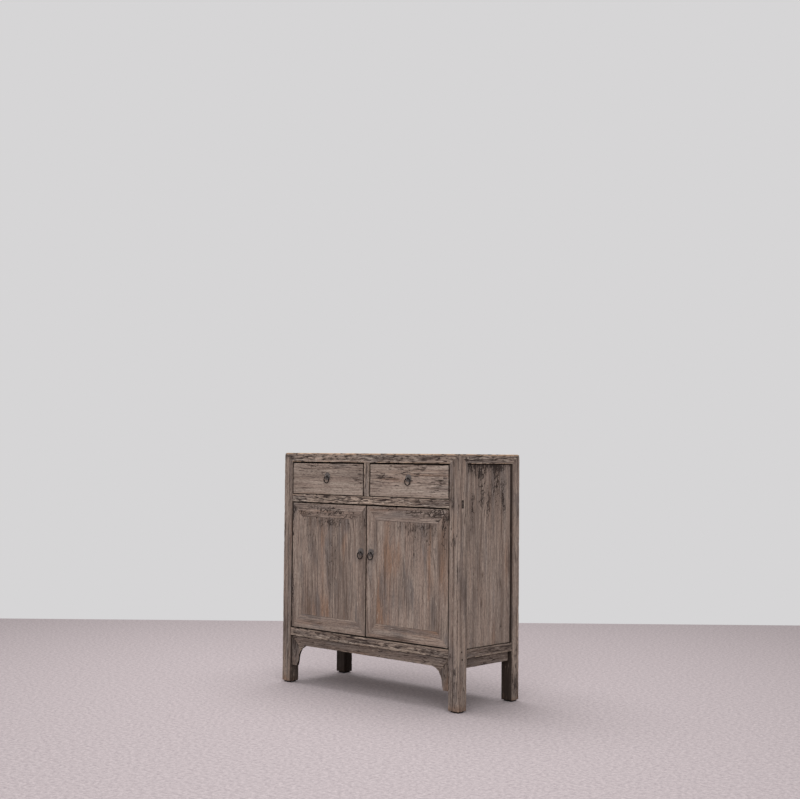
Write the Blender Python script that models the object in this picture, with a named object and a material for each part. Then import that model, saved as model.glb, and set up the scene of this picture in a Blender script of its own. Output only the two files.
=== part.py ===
"""Old elm sideboard: two drawers over two pivot-hung doors, framed by four corner posts.

Sizes are in metres. X runs along the front, the front faces -Y and Z points up. The origin lies
on the floor, under the middle of the outer box.
"""
import math
from dataclasses import dataclass

import bmesh
import bpy
from mathutils import Vector

# Outer sizes of the cabinet
CABINET_WIDTH = 0.886
CABINET_DEPTH = 0.337
CABINET_HEIGHT = 0.880

# Corner posts and the dark pads under them
POST_WIDTH = 0.046
POST_DEPTH = 0.043
PAD_HEIGHT = 0.005
PAD_INSET = 0.006
PAD_EDGE = 0.001
PAD_EDGE_STEPS = 1

# Heights down the front, from the top
TOP_RAIL_HEIGHT = 0.034
DRAWER_OPENING_HEIGHT = 0.123
MIDDLE_RAIL_HEIGHT = 0.030
DOOR_OPENING_HEIGHT = 0.481
BOTTOM_RAIL_HEIGHT = 0.031
APRON_HEIGHT = 0.034

# Thickness of the frame members behind the faces
FRONT_RAIL_DEPTH = 0.038
SIDE_RAIL_WIDTH = 0.030
BACK_RAIL_DEPTH = 0.030
DIVIDER_WIDTH = 0.028
BEARER_DEPTH = 0.020

# Clearances between pieces that touch
JOINT_GAP = 0.0003
MITRE_GAP = 0.0003

# Mortise and tenon joints
TENON_SETBACK = 0.011
TENON_THICKNESS = 0.012
TENON_SHOULDER = 0.005
TENON_WALL = 0.002
THROUGH_TENON_SHOULDER = 0.001
SIDE_TENON_SETBACK = 0.010
SIDE_TENON_LENGTH = 0.016
BACK_TENON_SETBACK = 0.012
BACK_TENON_THICKNESS = 0.009
BACK_TENON_LENGTH = 0.020
DIVIDER_TENON_LENGTH = 0.006
PANEL_RELIEF = 0.004

# Panels and boards held in grooves and rebates
PANEL_GROOVE_DEPTH = 0.008
SIDE_PANEL_THICKNESS = 0.010
SIDE_PANEL_RECESS = 0.007
BACK_PANEL_THICKNESS = 0.010
BACK_PANEL_RECESS = 0.008
TOP_PANEL_THICKNESS = 0.016
TOP_PANEL_DROP = 0.0005
TOP_TONGUE_THICKNESS = 0.006
TOP_TONGUE_DEPTH = 0.007
FLOOR_THICKNESS = 0.012
FLOOR_REBATE = 0.004
FLOOR_BEARING = 0.010

# Apron under the bottom rail, with its curved spandrels
APRON_RECESS = 0.008
APRON_THICKNESS = 0.010
SPANDREL_REACH = 0.088
SPANDREL_DROP = 0.113
SPANDREL_WAIST = 0.0355
SPANDREL_TOE = 0.030
SPANDREL_CURVE_HEIGHT = 0.058
SPANDREL_CURVE_STEPS = 12
SIDE_APRON_RECESS = 0.010
SIDE_APRON_THICKNESS = 0.012
SIDE_APRON_SHORTFALL = 0.009

# Doors, turning on wooden pins that are part of the outer stiles
FRONT_RECESS = 0.002
DOOR_THICKNESS = 0.024
DOOR_SIDE_GAP = 0.003
DOOR_TOP_GAP = 0.003
DOOR_BOTTOM_GAP = 0.0025
DOOR_MEETING_GAP = 0.0025
DOOR_STOP_GAP = 0.0009
DOOR_FRAME_WIDTH = 0.052
DOOR_PANEL_THICKNESS = 0.012
DOOR_PANEL_RECESS = 0.0008
DOOR_TONGUE_THICKNESS = 0.006
DOOR_TONGUE_LENGTH = 0.008
PIVOT_FROM_EDGE = 0.012
PIVOT_FROM_FACE = 0.008
PIVOT_RADIUS = 0.005
PIVOT_TOP_LENGTH = 0.012
PIVOT_BOTTOM_LENGTH = 0.006
PIVOT_ROOT = 0.010
HINGE_EDGE_RADIUS = 0.003
HINGE_EDGE_STEPS = 3
ROUND_PROFILE = 0.5
PIVOT_SIDES = 20

# Drawers and the runners that carry them
DRAWER_SIDE_GAP = 0.002
DRAWER_TOP_GAP = 0.0035
DRAWER_BOTTOM_GAP = 0.0015
DRAWER_BACK_GAP = 0.012
DRAWER_FRONT_THICKNESS = 0.020
DRAWER_WALL = 0.012
DRAWER_SIDE_HEIGHT = 0.095
DRAWER_BOTTOM_THICKNESS = 0.008
DRAWER_BOTTOM_RAISE = 0.008
DRAWER_GROOVE_DEPTH = 0.005
RUNNER_HEIGHT = 0.018
RUNNER_LEDGE = 0.016
RUNNER_TENON_LENGTH = 0.008
RUNNER_TENON_INSET = 0.004
GUIDE_WIDTH = 0.020
GUIDE_HEIGHT = 0.016
GUIDE_GAP = 0.0009

# Ring pulls, each hung in the eye of a pin that is clenched behind the wood
PLATE_RADIUS = 0.014
PLATE_THICKNESS = 0.0015
EYE_WIRE_RADIUS = 0.0015
EYE_HOLE_RADIUS = 0.0026
EYE_SINK = 0.0008
RING_WIRE_RADIUS = 0.002
RING_RADIUS = 0.0125
SHANK_RADIUS = 0.0016
TAIL_LENGTH = 0.016
TAIL_WIDTH = 0.0026
TAIL_THICKNESS = 0.002
DRAWER_PULL_HEIGHT = 0.0685
DOOR_PULL_HEIGHT = 0.3055
DOOR_PULL_FROM_EDGE = 0.0245
PLATE_SIDES = 24
EYE_SIDES = 16
RING_SIDES = 28
WIRE_SIDES = 8
SHARP_ANGLE = math.radians(40)
SAME_PLACE = 0.0001

LEFT = -1
RIGHT = 1
SIDE_NAMES = {LEFT: "left", RIGHT: "right"}

# Where the pieces lie, worked out from the sizes above
EYE_RADIUS = EYE_HOLE_RADIUS + EYE_WIRE_RADIUS
EYE_OUTER_RADIUS = EYE_HOLE_RADIUS + 2 * EYE_WIRE_RADIUS
EYE_STANDOFF = JOINT_GAP + PLATE_THICKNESS + EYE_OUTER_RADIUS - EYE_SINK
PULL_REACH = EYE_STANDOFF + EYE_OUTER_RADIUS - FRONT_RECESS

HALF_WIDTH = CABINET_WIDTH / 2
OPENING_HALF = HALF_WIDTH - POST_WIDTH
FRONT_Y = (PULL_REACH - CABINET_DEPTH) / 2
BACK_Y = FRONT_Y + CABINET_DEPTH
FRONT_POST_BACK = FRONT_Y + POST_DEPTH
BACK_POST_FRONT = BACK_Y - POST_DEPTH
POST_ROWS = (("front", FRONT_Y, FRONT_POST_BACK), ("back", BACK_Y, BACK_POST_FRONT))
FRAME_Y = (FRONT_POST_BACK + JOINT_GAP, BACK_POST_FRONT - JOINT_GAP)
GROOVED_Y = (FRAME_Y[0] - PANEL_GROOVE_DEPTH, FRAME_Y[1] + PANEL_GROOVE_DEPTH)
FRONT_TENON_LENGTH = POST_WIDTH - SIDE_TENON_SETBACK - TENON_THICKNESS - TENON_WALL

TOP_RAIL_Z = CABINET_HEIGHT - TOP_RAIL_HEIGHT
MIDDLE_TOP_Z = TOP_RAIL_Z - DRAWER_OPENING_HEIGHT
MIDDLE_BOTTOM_Z = MIDDLE_TOP_Z - MIDDLE_RAIL_HEIGHT
BOTTOM_TOP_Z = MIDDLE_BOTTOM_Z - DOOR_OPENING_HEIGHT
BOTTOM_RAIL_Z = BOTTOM_TOP_Z - BOTTOM_RAIL_HEIGHT
APRON_BOTTOM_Z = BOTTOM_RAIL_Z - APRON_HEIGHT

DOOR_FRONT_Y = FRONT_Y + FRONT_RECESS
DOOR_BACK_Y = DOOR_FRONT_Y + DOOR_THICKNESS
DOOR_BOTTOM_Z = BOTTOM_TOP_Z + DOOR_BOTTOM_GAP
DOOR_TOP_Z = MIDDLE_BOTTOM_Z - DOOR_TOP_GAP
PIVOT_X = OPENING_HALF - DOOR_SIDE_GAP - PIVOT_FROM_EDGE
PIVOT_Y = DOOR_FRONT_Y + PIVOT_FROM_FACE
DOOR_CORNER_SWING = math.hypot(PIVOT_FROM_EDGE, DOOR_THICKNESS - PIVOT_FROM_FACE)

BACK_PANEL_Y = (BACK_Y - BACK_PANEL_RECESS - BACK_PANEL_THICKNESS, BACK_Y - BACK_PANEL_RECESS)
BEARER_Y = (BACK_POST_FRONT, BACK_POST_FRONT + BEARER_DEPTH)
FRONT_RAIL_Y = (FRONT_Y, FRONT_Y + FRONT_RAIL_DEPTH)
BACK_RAIL_Y = (BACK_Y - BACK_RAIL_DEPTH, BACK_Y)
FRONT_TENON_Y = (FRONT_Y + TENON_SETBACK, FRONT_Y + TENON_SETBACK + TENON_THICKNESS)
BACK_TENON_Y = (BACK_Y - BACK_TENON_SETBACK - BACK_TENON_THICKNESS, BACK_Y - BACK_TENON_SETBACK)
BEARER_TENON_Y = (BEARER_Y[0] + TENON_SHOULDER, BEARER_Y[1] - TENON_SHOULDER)
LOW_TENON_Z = (BOTTOM_RAIL_Z + TENON_SHOULDER, BOTTOM_TOP_Z - PANEL_GROOVE_DEPTH - PANEL_RELIEF)
BEARER_TENON_Z = (MIDDLE_BOTTOM_Z + TENON_SHOULDER, MIDDLE_TOP_Z - TENON_SHOULDER)
THROUGH_TENON_Z = (MIDDLE_BOTTOM_Z + THROUGH_TENON_SHOULDER, MIDDLE_TOP_Z - THROUGH_TENON_SHOULDER)


@dataclass(frozen=True)
class Finish:
    """Colour and surface of one kind of material."""

    name: str
    colour: tuple
    roughness: float
    metallic: float


FRAME_ELM = Finish("frame_elm", (0.205, 0.165, 0.135), 0.80, 0.0)
PANEL_ELM = Finish("panel_elm", (0.225, 0.180, 0.148), 0.78, 0.0)
APRON_ELM = Finish("apron_elm", (0.165, 0.130, 0.108), 0.82, 0.0)
INNER_WOOD = Finish("inner_wood", (0.300, 0.235, 0.165), 0.85, 0.0)
OLD_IRON = Finish("old_iron", (0.045, 0.040, 0.038), 0.55, 0.9)
PAD_RUBBER = Finish("pad_rubber", (0.012, 0.011, 0.010), 0.90, 0.0)


def clear_scene():
    """Remove every object that the file starts with."""
    for old in list(bpy.data.objects):
        bpy.data.objects.remove(old, do_unlink=True)


def solid(name, fill):
    """Object whose mesh is drawn by fill(bm), with its faces turned outwards."""
    bm = bmesh.new()
    fill(bm)
    bmesh.ops.recalc_face_normals(bm, faces=bm.faces)
    mesh = bpy.data.meshes.new(name)
    bm.to_mesh(mesh)
    bm.free()
    thing = bpy.data.objects.new(name, mesh)
    bpy.context.scene.collection.objects.link(thing)
    return thing


def board(name, x_ends, y_ends, z_ends):
    """Rectangular board between two coordinates on each axis, given in either order."""
    low = Vector((min(x_ends), min(y_ends), min(z_ends)))
    high = Vector((max(x_ends), max(y_ends), max(z_ends)))

    def fill(bm):
        bmesh.ops.create_cube(bm, size=1.0)
        for vert in bm.verts:
            vert.co = Vector(high[i] if vert.co[i] > 0 else low[i] for i in range(3))

    return solid(name, fill)


def prism(name, outline, point, start, end):
    """Outline pushed from start to end, where point(u, v, w) gives the place in space."""
    def fill(bm):
        near = [bm.verts.new(point(u, v, start)) for u, v in outline]
        far = [bm.verts.new(point(u, v, end)) for u, v in outline]
        bm.faces.new(near)
        bm.faces.new(far)
        count = len(outline)
        for i in range(count):
            j = (i + 1) % count
            bm.faces.new((near[i], near[j], far[j], far[i]))

    return solid(name, fill)


def facing_front(u, v, w):
    """Outline drawn in X and Z, pushed along Y."""
    return (u, w, v)


def lying_flat(u, v, w):
    """Outline drawn in X and Y, pushed along Z."""
    return (u, v, w)


def rod(name, start, end, radius, sides):
    """Round rod between two points."""
    start = Vector(start)
    along = Vector(end) - start
    turn = along.to_track_quat("Z", "Y").to_matrix().to_4x4()
    turn.translation = start + along / 2

    def fill(bm):
        bmesh.ops.create_cone(bm, cap_ends=True, segments=sides, radius1=radius, radius2=radius,
                              depth=along.length, matrix=turn)

    return solid(name, fill)


def wire_loop(name, centre, spoke, rise, radius, wire_radius, sides):
    """Closed loop of round wire; spoke and rise are two unit directions in the loop's plane."""
    centre = Vector(centre)
    spoke = Vector(spoke)
    rise = Vector(rise)
    across = spoke.cross(rise)

    def section(bm, turn):
        out = spoke * math.cos(turn) + rise * math.sin(turn)
        angles = [2 * math.pi * k / WIRE_SIDES for k in range(WIRE_SIDES)]
        return [bm.verts.new(centre + out * (radius + wire_radius * math.cos(a))
                             + across * wire_radius * math.sin(a)) for a in angles]

    def fill(bm):
        rings = [section(bm, 2 * math.pi * i / sides) for i in range(sides)]
        for i, ring in enumerate(rings):
            following = rings[(i + 1) % sides]
            for k in range(WIRE_SIDES):
                n = (k + 1) % WIRE_SIDES
                bm.faces.new((ring[k], ring[n], following[n], following[k]))

    return solid(name, fill)


def combine(target, tools, operation):
    """Join the tools to the target or cut them from it, and drop the tools."""
    for tool in tools:
        step = target.modifiers.new(operation.lower(), "BOOLEAN")
        step.operation = operation
        step.solver = "EXACT"
        step.object = tool
    graph = bpy.context.evaluated_depsgraph_get()
    graph.update()
    result = bpy.data.meshes.new_from_object(target.evaluated_get(graph))
    target.modifiers.clear()
    old = target.data
    target.data = result
    bpy.data.meshes.remove(old)
    for tool in tools:
        bpy.data.objects.remove(tool, do_unlink=True)
    return target


def join(target, *tools):
    """Make one body of the target and the tools."""
    return combine(target, tools, "UNION")


def cut(target, *tools):
    """Take the tools out of the target."""
    return combine(target, tools, "DIFFERENCE")


def wider(ends, gap=JOINT_GAP):
    """Ends of a hole that leaves a gap on both sides of what goes in."""
    return (min(ends) - gap, max(ends) + gap)


def mirrored(side, ends):
    """Ends measured outwards from the middle plane, put on one side of it."""
    return (side * ends[0], side * ends[1])


def tapered_member(name, square, apexes):
    """Member with a rectangular body whose ends run to a point at an outer top corner.

    The two ends of square are four corners each, in the same order round the section.
    """
    def fill(bm):
        ends = [[bm.verts.new(corner) for corner in corners] for corners in square]
        for i in range(4):
            j = (i + 1) % 4
            bm.faces.new((ends[0][i], ends[0][j], ends[1][j], ends[1][i]))
        for corners, apex in zip(ends, apexes):
            if apex is None:
                bm.faces.new(corners)
                continue
            tip = bm.verts.new(apex)
            for i in range(4):
                bm.faces.new((corners[i], corners[(i + 1) % 4], tip))

    return solid(name, fill)


def side_panel_ends(side):
    """Room that one side panel takes, with its tongues in the grooves."""
    outer = HALF_WIDTH - SIDE_PANEL_RECESS
    x_ends = mirrored(side, (outer - SIDE_PANEL_THICKNESS, outer))
    return x_ends, GROOVED_Y, panel_z_ends()


def panel_z_ends():
    """Lower and upper edge of the side and back panels, inside their grooves."""
    depth = PANEL_GROOVE_DEPTH - JOINT_GAP
    return (BOTTOM_TOP_Z - depth, TOP_RAIL_Z + depth)


def back_panel_ends():
    """Room that the back panel takes, with its tongues in the grooves."""
    reach = OPENING_HALF + PANEL_GROOVE_DEPTH - JOINT_GAP
    return (-reach, reach), BACK_PANEL_Y, panel_z_ends()


def top_tongue_ends():
    """Room that the tongue round the top panel takes."""
    reach = OPENING_HALF + PANEL_GROOVE_DEPTH - JOINT_GAP
    upper = CABINET_HEIGHT - TOP_TONGUE_DEPTH
    return (-reach, reach), GROOVED_Y, (upper - TOP_TONGUE_THICKNESS, upper)


def side_tenon_x(side):
    """Sideways place of the tenons of a side rail."""
    outer = HALF_WIDTH - SIDE_TENON_SETBACK
    return mirrored(side, (outer - TENON_THICKNESS, outer))


def hole_for(ends):
    """Cutter that leaves a gap all round a board of these ends."""
    return board("hole", *(wider(pair) for pair in ends))


def make_posts():
    """Four corner posts from the pads to the mitred top corners."""
    for side in (LEFT, RIGHT):
        for row, near_y, far_y in POST_ROWS:
            outer = side * HALF_WIDTH
            inner = side * OPENING_HALF
            plan = ((outer, near_y), (inner, near_y), (inner, far_y), (outer, far_y))
            shoulder = TOP_RAIL_Z - MITRE_GAP
            square = [[(x, y, z) for x, y in plan] for z in (PAD_HEIGHT, shoulder)]
            apex = (outer, near_y, CABINET_HEIGHT - MITRE_GAP)
            post = tapered_member(f"post_{row}_{SIDE_NAMES[side]}", square, (None, apex))
            holes = front_post_holes(side) if row == "front" else back_post_holes(side)
            cut(post, hole_for(side_panel_ends(side)), *holes)
            finish(post, FRAME_ELM)


def front_post_holes(side):
    """Mortises of a front post: through for the middle rail, blind for the two bottom rails."""
    through = mirrored(side, (OPENING_HALF - FRONT_TENON_LENGTH, HALF_WIDTH + FRONT_TENON_LENGTH))
    blind = mirrored(side, (OPENING_HALF - FRONT_TENON_LENGTH, OPENING_HALF + FRONT_TENON_LENGTH))
    deep = (FRONT_POST_BACK - SIDE_TENON_LENGTH, FRONT_POST_BACK + SIDE_TENON_LENGTH)
    return (board("hole", through, wider(FRONT_TENON_Y), wider(THROUGH_TENON_Z)),
            board("hole", wider(blind), wider(FRONT_TENON_Y), wider(LOW_TENON_Z)),
            board("hole", wider(side_tenon_x(side)), wider(deep), wider(LOW_TENON_Z)))


def back_post_holes(side):
    """Mortises of a back post, and its groove for the back panel."""
    blind = mirrored(side, (OPENING_HALF - BACK_TENON_LENGTH, OPENING_HALF + BACK_TENON_LENGTH))
    deep = (BACK_POST_FRONT - SIDE_TENON_LENGTH, BACK_POST_FRONT + SIDE_TENON_LENGTH)
    return (board("hole", wider(blind), wider(BACK_TENON_Y), wider(LOW_TENON_Z)),
            board("hole", wider(blind), wider(BEARER_TENON_Y), wider(BEARER_TENON_Z)),
            board("hole", wider(side_tenon_x(side)), wider(deep), wider(LOW_TENON_Z)),
            hole_for(back_panel_ends()))


def make_pads():
    """Thin dark pads under the posts, set in from their faces."""
    z_ends = (0, PAD_HEIGHT - JOINT_GAP)
    for side in (LEFT, RIGHT):
        x_ends = mirrored(side, (OPENING_HALF + PAD_INSET, HALF_WIDTH - PAD_INSET))
        for row, near_y, far_y in POST_ROWS:
            y_ends = (min(near_y, far_y) + PAD_INSET, max(near_y, far_y) - PAD_INSET)
            pad = board(f"foot_pad_{row}_{SIDE_NAMES[side]}", x_ends, y_ends, z_ends)
            edge = pad.modifiers.new("worn edge", "BEVEL")
            edge.width = PAD_EDGE
            edge.segments = PAD_EDGE_STEPS
            finish(pad, PAD_RUBBER)


def make_top_frame():
    """Four top rails that meet the posts in three-way mitres, and the panel between them."""
    low = TOP_RAIL_Z
    high = CABINET_HEIGHT
    for row, near_y, far_y in POST_ROWS:
        section = ((near_y, low), (far_y, low), (far_y, high), (near_y, high))
        square = [[(end * (OPENING_HALF - MITRE_GAP), y, z) for y, z in section] for end in (LEFT, RIGHT)]
        apexes = [(end * (HALF_WIDTH - MITRE_GAP), near_y, high) for end in (LEFT, RIGHT)]
        rail = tapered_member(f"top_rail_{row}", square, apexes)
        cut(rail, hole_for(top_tongue_ends()), *top_rail_holes(row))
        finish(rail, FRAME_ELM)
    for side in (LEFT, RIGHT):
        outer = side * HALF_WIDTH
        inner = side * OPENING_HALF
        section = ((outer, low), (inner, low), (inner, high), (outer, high))
        ends = (FRONT_POST_BACK + MITRE_GAP, BACK_POST_FRONT - MITRE_GAP)
        square = [[(x, y, z) for x, z in section] for y in ends]
        apexes = [(outer, y, high) for y in (FRONT_Y + MITRE_GAP, BACK_Y - MITRE_GAP)]
        rail = tapered_member(f"top_rail_{SIDE_NAMES[side]}", square, apexes)
        cut(rail, hole_for(top_tongue_ends()), hole_for(side_panel_ends(side)))
        finish(rail, FRAME_ELM)
    slab_x = OPENING_HALF - JOINT_GAP
    surface = CABINET_HEIGHT - TOP_PANEL_DROP
    panel = board("top_panel", (-slab_x, slab_x), FRAME_Y, (surface - TOP_PANEL_THICKNESS, surface))
    join(panel, board("tongue", *top_tongue_ends()))
    finish(panel, PANEL_ELM)


def top_rail_holes(row):
    """Mortise for the divider in front, groove for the back panel behind."""
    if row == "back":
        return (hole_for(back_panel_ends()),)
    return (hole_for(divider_tenon_ends()),)


def divider_tenon_ends():
    """Room for the tenon that runs through the divider, past both of its ends."""
    half = DIVIDER_WIDTH / 2 - TENON_SHOULDER
    reach = DIVIDER_TENON_LENGTH
    return (-half, half), FRONT_TENON_Y, (MIDDLE_TOP_Z - reach, TOP_RAIL_Z + reach)


def make_divider():
    """Short upright between the drawers."""
    half = DIVIDER_WIDTH / 2
    z_ends = (MIDDLE_TOP_Z + JOINT_GAP, TOP_RAIL_Z - JOINT_GAP)
    divider = board("drawer_divider", (-half, half), FRONT_RAIL_Y, z_ends)
    join(divider, board("tenon", *divider_tenon_ends()))
    finish(divider, FRAME_ELM)


def long_rail(name, y_ends, z_ends, tenon_reach, tenon_y, tenon_z):
    """Rail between two posts along X, with a tenon at each end."""
    reach = OPENING_HALF - JOINT_GAP
    rail = board(name, (-reach, reach), y_ends, z_ends)
    return join(rail, board("tenon", (-tenon_reach, tenon_reach), tenon_y, tenon_z))


def pivot_socket(side, z_ends):
    """Cutter for the round socket of a door pin."""
    place = (side * PIVOT_X, PIVOT_Y)
    return rod("socket", (*place, z_ends[0]), (*place, z_ends[1]), PIVOT_RADIUS + JOINT_GAP, PIVOT_SIDES)


def make_front_rails():
    """Middle rail with through tenons, and the bottom rail that carries the doors."""
    middle_z = (MIDDLE_BOTTOM_Z, MIDDLE_TOP_Z)
    middle = long_rail("middle_rail_front", FRONT_RAIL_Y, middle_z, HALF_WIDTH - JOINT_GAP,
                       FRONT_TENON_Y, THROUGH_TENON_Z)
    top_depth = MIDDLE_BOTTOM_Z + PIVOT_TOP_LENGTH + JOINT_GAP
    sockets = [pivot_socket(side, (DOOR_TOP_Z, top_depth)) for side in (LEFT, RIGHT)]
    cut(middle, hole_for(divider_tenon_ends()), *sockets, *runner_tenon_holes())
    finish(middle, FRAME_ELM)
    bottom_z = (BOTTOM_RAIL_Z, BOTTOM_TOP_Z)
    bottom = long_rail("bottom_rail_front", FRONT_RAIL_Y, bottom_z, OPENING_HALF + FRONT_TENON_LENGTH,
                       FRONT_TENON_Y, LOW_TENON_Z)
    low_depth = BOTTOM_TOP_Z - PIVOT_BOTTOM_LENGTH - JOINT_GAP
    sockets = [pivot_socket(side, (low_depth, DOOR_BOTTOM_Z)) for side in (LEFT, RIGHT)]
    cut(bottom, floor_hole(), *sockets)
    finish(bottom, FRAME_ELM)


def make_back_rails():
    """Bottom rail at the back, and the bearer that carries the drawer runners."""
    rail_z = (BOTTOM_RAIL_Z, BOTTOM_TOP_Z)
    reach = OPENING_HALF + BACK_TENON_LENGTH
    rail = long_rail("bottom_rail_back", BACK_RAIL_Y, rail_z, reach, BACK_TENON_Y, LOW_TENON_Z)
    cut(rail, floor_hole(), hole_for(back_panel_ends()))
    finish(rail, FRAME_ELM)
    bearer_z = (MIDDLE_BOTTOM_Z, MIDDLE_TOP_Z)
    bearer = long_rail("drawer_bearer_back", BEARER_Y, bearer_z, reach, BEARER_TENON_Y, BEARER_TENON_Z)
    cut(bearer, *runner_tenon_holes())
    finish(bearer, INNER_WOOD)


def make_side_rails():
    """Bottom rails of the two sides, with blind tenons in the posts."""
    for side in (LEFT, RIGHT):
        x_ends = mirrored(side, (HALF_WIDTH - SIDE_RAIL_WIDTH, HALF_WIDTH))
        rail = board(f"bottom_rail_{SIDE_NAMES[side]}", x_ends, FRAME_Y, (BOTTOM_RAIL_Z, BOTTOM_TOP_Z))
        tenon_y = (FRONT_POST_BACK - SIDE_TENON_LENGTH, BACK_POST_FRONT + SIDE_TENON_LENGTH)
        join(rail, board("tenon", side_tenon_x(side), tenon_y, LOW_TENON_Z))
        cut(rail, floor_hole(), hole_for(side_panel_ends(side)))
        finish(rail, FRAME_ELM)


def make_panels():
    """Side and back panels, floating in their grooves."""
    for side in (LEFT, RIGHT):
        panel = board(f"side_panel_{SIDE_NAMES[side]}", *side_panel_ends(side))
        finish(panel, PANEL_ELM)
    back = board("back_panel", *back_panel_ends())
    finish(back, INNER_WOOD)


def floor_outline(gap):
    """Plan of the floor board, grown by a gap.

    It is notched round the posts, and in front where a door's hinge corner swings back.
    """
    near_x = OPENING_HALF - JOINT_GAP
    far_x = HALF_WIDTH - SIDE_RAIL_WIDTH + FLOOR_BEARING + gap
    swing_x = PIVOT_X - DOOR_CORNER_SWING - DOOR_STOP_GAP + gap
    swing_y = PIVOT_Y + DOOR_CORNER_SWING + DOOR_STOP_GAP - gap
    front_y = DOOR_BACK_Y + DOOR_STOP_GAP - gap
    back_y = BACK_Y - BACK_RAIL_DEPTH + FLOOR_BEARING + gap
    right = [(swing_x, front_y), (swing_x, swing_y), (near_x, swing_y), (near_x, FRAME_Y[0]),
             (far_x, FRAME_Y[0]), (far_x, FRAME_Y[1]), (near_x, FRAME_Y[1]), (near_x, back_y)]
    return right + [(-x, y) for x, y in reversed(right)]


def floor_hole():
    """Cutter for the rebates that the floor board rests in."""
    low = BOTTOM_TOP_Z - FLOOR_REBATE
    return prism("rebate", floor_outline(JOINT_GAP), lying_flat, low, low + FLOOR_THICKNESS)


def make_floor():
    """Floor of the cupboard; its front edge stands above the rail and stops the doors."""
    low = BOTTOM_TOP_Z - FLOOR_REBATE + JOINT_GAP
    floor = prism("floor_board", floor_outline(0), lying_flat, low, low + FLOOR_THICKNESS)
    finish(floor, INNER_WOOD)


def runner_tenon_x():
    """Sideways places of the three runners' tenons."""
    inset = RUNNER_TENON_INSET
    outer = (OPENING_HALF - RUNNER_LEDGE + inset, OPENING_HALF - inset)
    middle = DIVIDER_WIDTH / 2 + RUNNER_LEDGE - inset
    return {"left": mirrored(LEFT, outer), "center": (-middle, middle), "right": mirrored(RIGHT, outer)}


def runner_tenon_ends(name):
    """Room for the tenon that runs through one runner, past both of its ends."""
    y_ends = (FRONT_RAIL_Y[1] - RUNNER_TENON_LENGTH, BEARER_Y[0] + RUNNER_TENON_LENGTH)
    upper = MIDDLE_TOP_Z - RUNNER_TENON_INSET
    z_ends = (MIDDLE_TOP_Z - RUNNER_HEIGHT + RUNNER_TENON_INSET, upper)
    return runner_tenon_x()[name], y_ends, z_ends


def runner_tenon_holes():
    """Cutters for the runners' mortises in the middle rail and the back bearer."""
    return [hole_for(runner_tenon_ends(name)) for name in runner_tenon_x()]


def make_runners():
    """Runners under the drawer sides, with upstands that guide the drawers."""
    ledge_z = (MIDDLE_TOP_Z - RUNNER_HEIGHT, MIDDLE_TOP_Z)
    guide_z = (ledge_z[0], MIDDLE_TOP_Z + GUIDE_HEIGHT)
    full_y = (FRONT_RAIL_Y[1] + JOINT_GAP, BEARER_Y[0] - JOINT_GAP)
    play = DRAWER_SIDE_GAP - GUIDE_GAP
    for side in (LEFT, RIGHT):
        name = SIDE_NAMES[side]
        ledge_x = mirrored(side, (OPENING_HALF - RUNNER_LEDGE, OPENING_HALF - JOINT_GAP))
        shelf_x = mirrored(side, (OPENING_HALF - RUNNER_LEDGE, OPENING_HALF + GUIDE_WIDTH))
        guide_x = mirrored(side, (OPENING_HALF - play, OPENING_HALF + GUIDE_WIDTH))
        runner = board(f"drawer_runner_{name}", ledge_x, full_y, ledge_z)
        join(runner, board("shelf", shelf_x, FRAME_Y, ledge_z), board("guide", guide_x, FRAME_Y, guide_z),
             board("tenon", *runner_tenon_ends(name)))
        finish(runner, INNER_WOOD)
    ledge = DIVIDER_WIDTH / 2 + RUNNER_LEDGE
    guide = DIVIDER_WIDTH / 2 + play
    runner = board("drawer_runner_center", (-ledge, ledge), full_y, ledge_z)
    join(runner, board("guide", (-guide, guide), full_y, guide_z),
         board("tenon", *runner_tenon_ends("center")))
    finish(runner, INNER_WOOD)


def curve_angle(shift):
    """Angle on the spandrel's elliptical curve where reach minus drop equals shift."""
    reach_radius = SPANDREL_REACH - SPANDREL_WAIST
    offset = SPANDREL_REACH - APRON_HEIGHT - SPANDREL_CURVE_HEIGHT - shift
    lead = math.atan2(SPANDREL_CURVE_HEIGHT, reach_radius)
    return math.acos(offset / math.hypot(reach_radius, SPANDREL_CURVE_HEIGHT)) - lead


def curve_points(start, end):
    """Points of the curve as reach from the post and drop from the rail."""
    reach_radius = SPANDREL_REACH - SPANDREL_WAIST
    low = APRON_HEIGHT + SPANDREL_CURVE_HEIGHT
    angles = [start + (end - start) * i / SPANDREL_CURVE_STEPS for i in range(SPANDREL_CURVE_STEPS + 1)]
    return [(SPANDREL_REACH - reach_radius * math.cos(a), low - SPANDREL_CURVE_HEIGHT * math.sin(a))
            for a in angles]


def make_front_apron():
    """Recessed apron, mitred at both ends to a curved spandrel beside each post."""
    y_ends = (FRONT_Y + APRON_RECESS, FRONT_Y + APRON_RECESS + APRON_THICKNESS)
    gap = JOINT_GAP

    def place(side, points):
        return [(side * (OPENING_HALF - reach), BOTTOM_RAIL_Z - drop) for reach, drop in points]

    half = [(gap + MITRE_GAP, gap)] + curve_points(curve_angle(MITRE_GAP), math.pi / 2)
    outline = place(LEFT, half) + list(reversed(place(RIGHT, half)))
    finish(prism("apron_front", outline, facing_front, *y_ends), APRON_ELM)
    foot = [(gap, SPANDREL_DROP), (gap, gap + MITRE_GAP)]
    foot += list(reversed(curve_points(0, curve_angle(-MITRE_GAP))))
    foot.append((SPANDREL_TOE, SPANDREL_DROP))
    for side in (LEFT, RIGHT):
        spandrel = prism(f"spandrel_{SIDE_NAMES[side]}", place(side, foot), facing_front, *y_ends)
        finish(spandrel, APRON_ELM)


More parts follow.
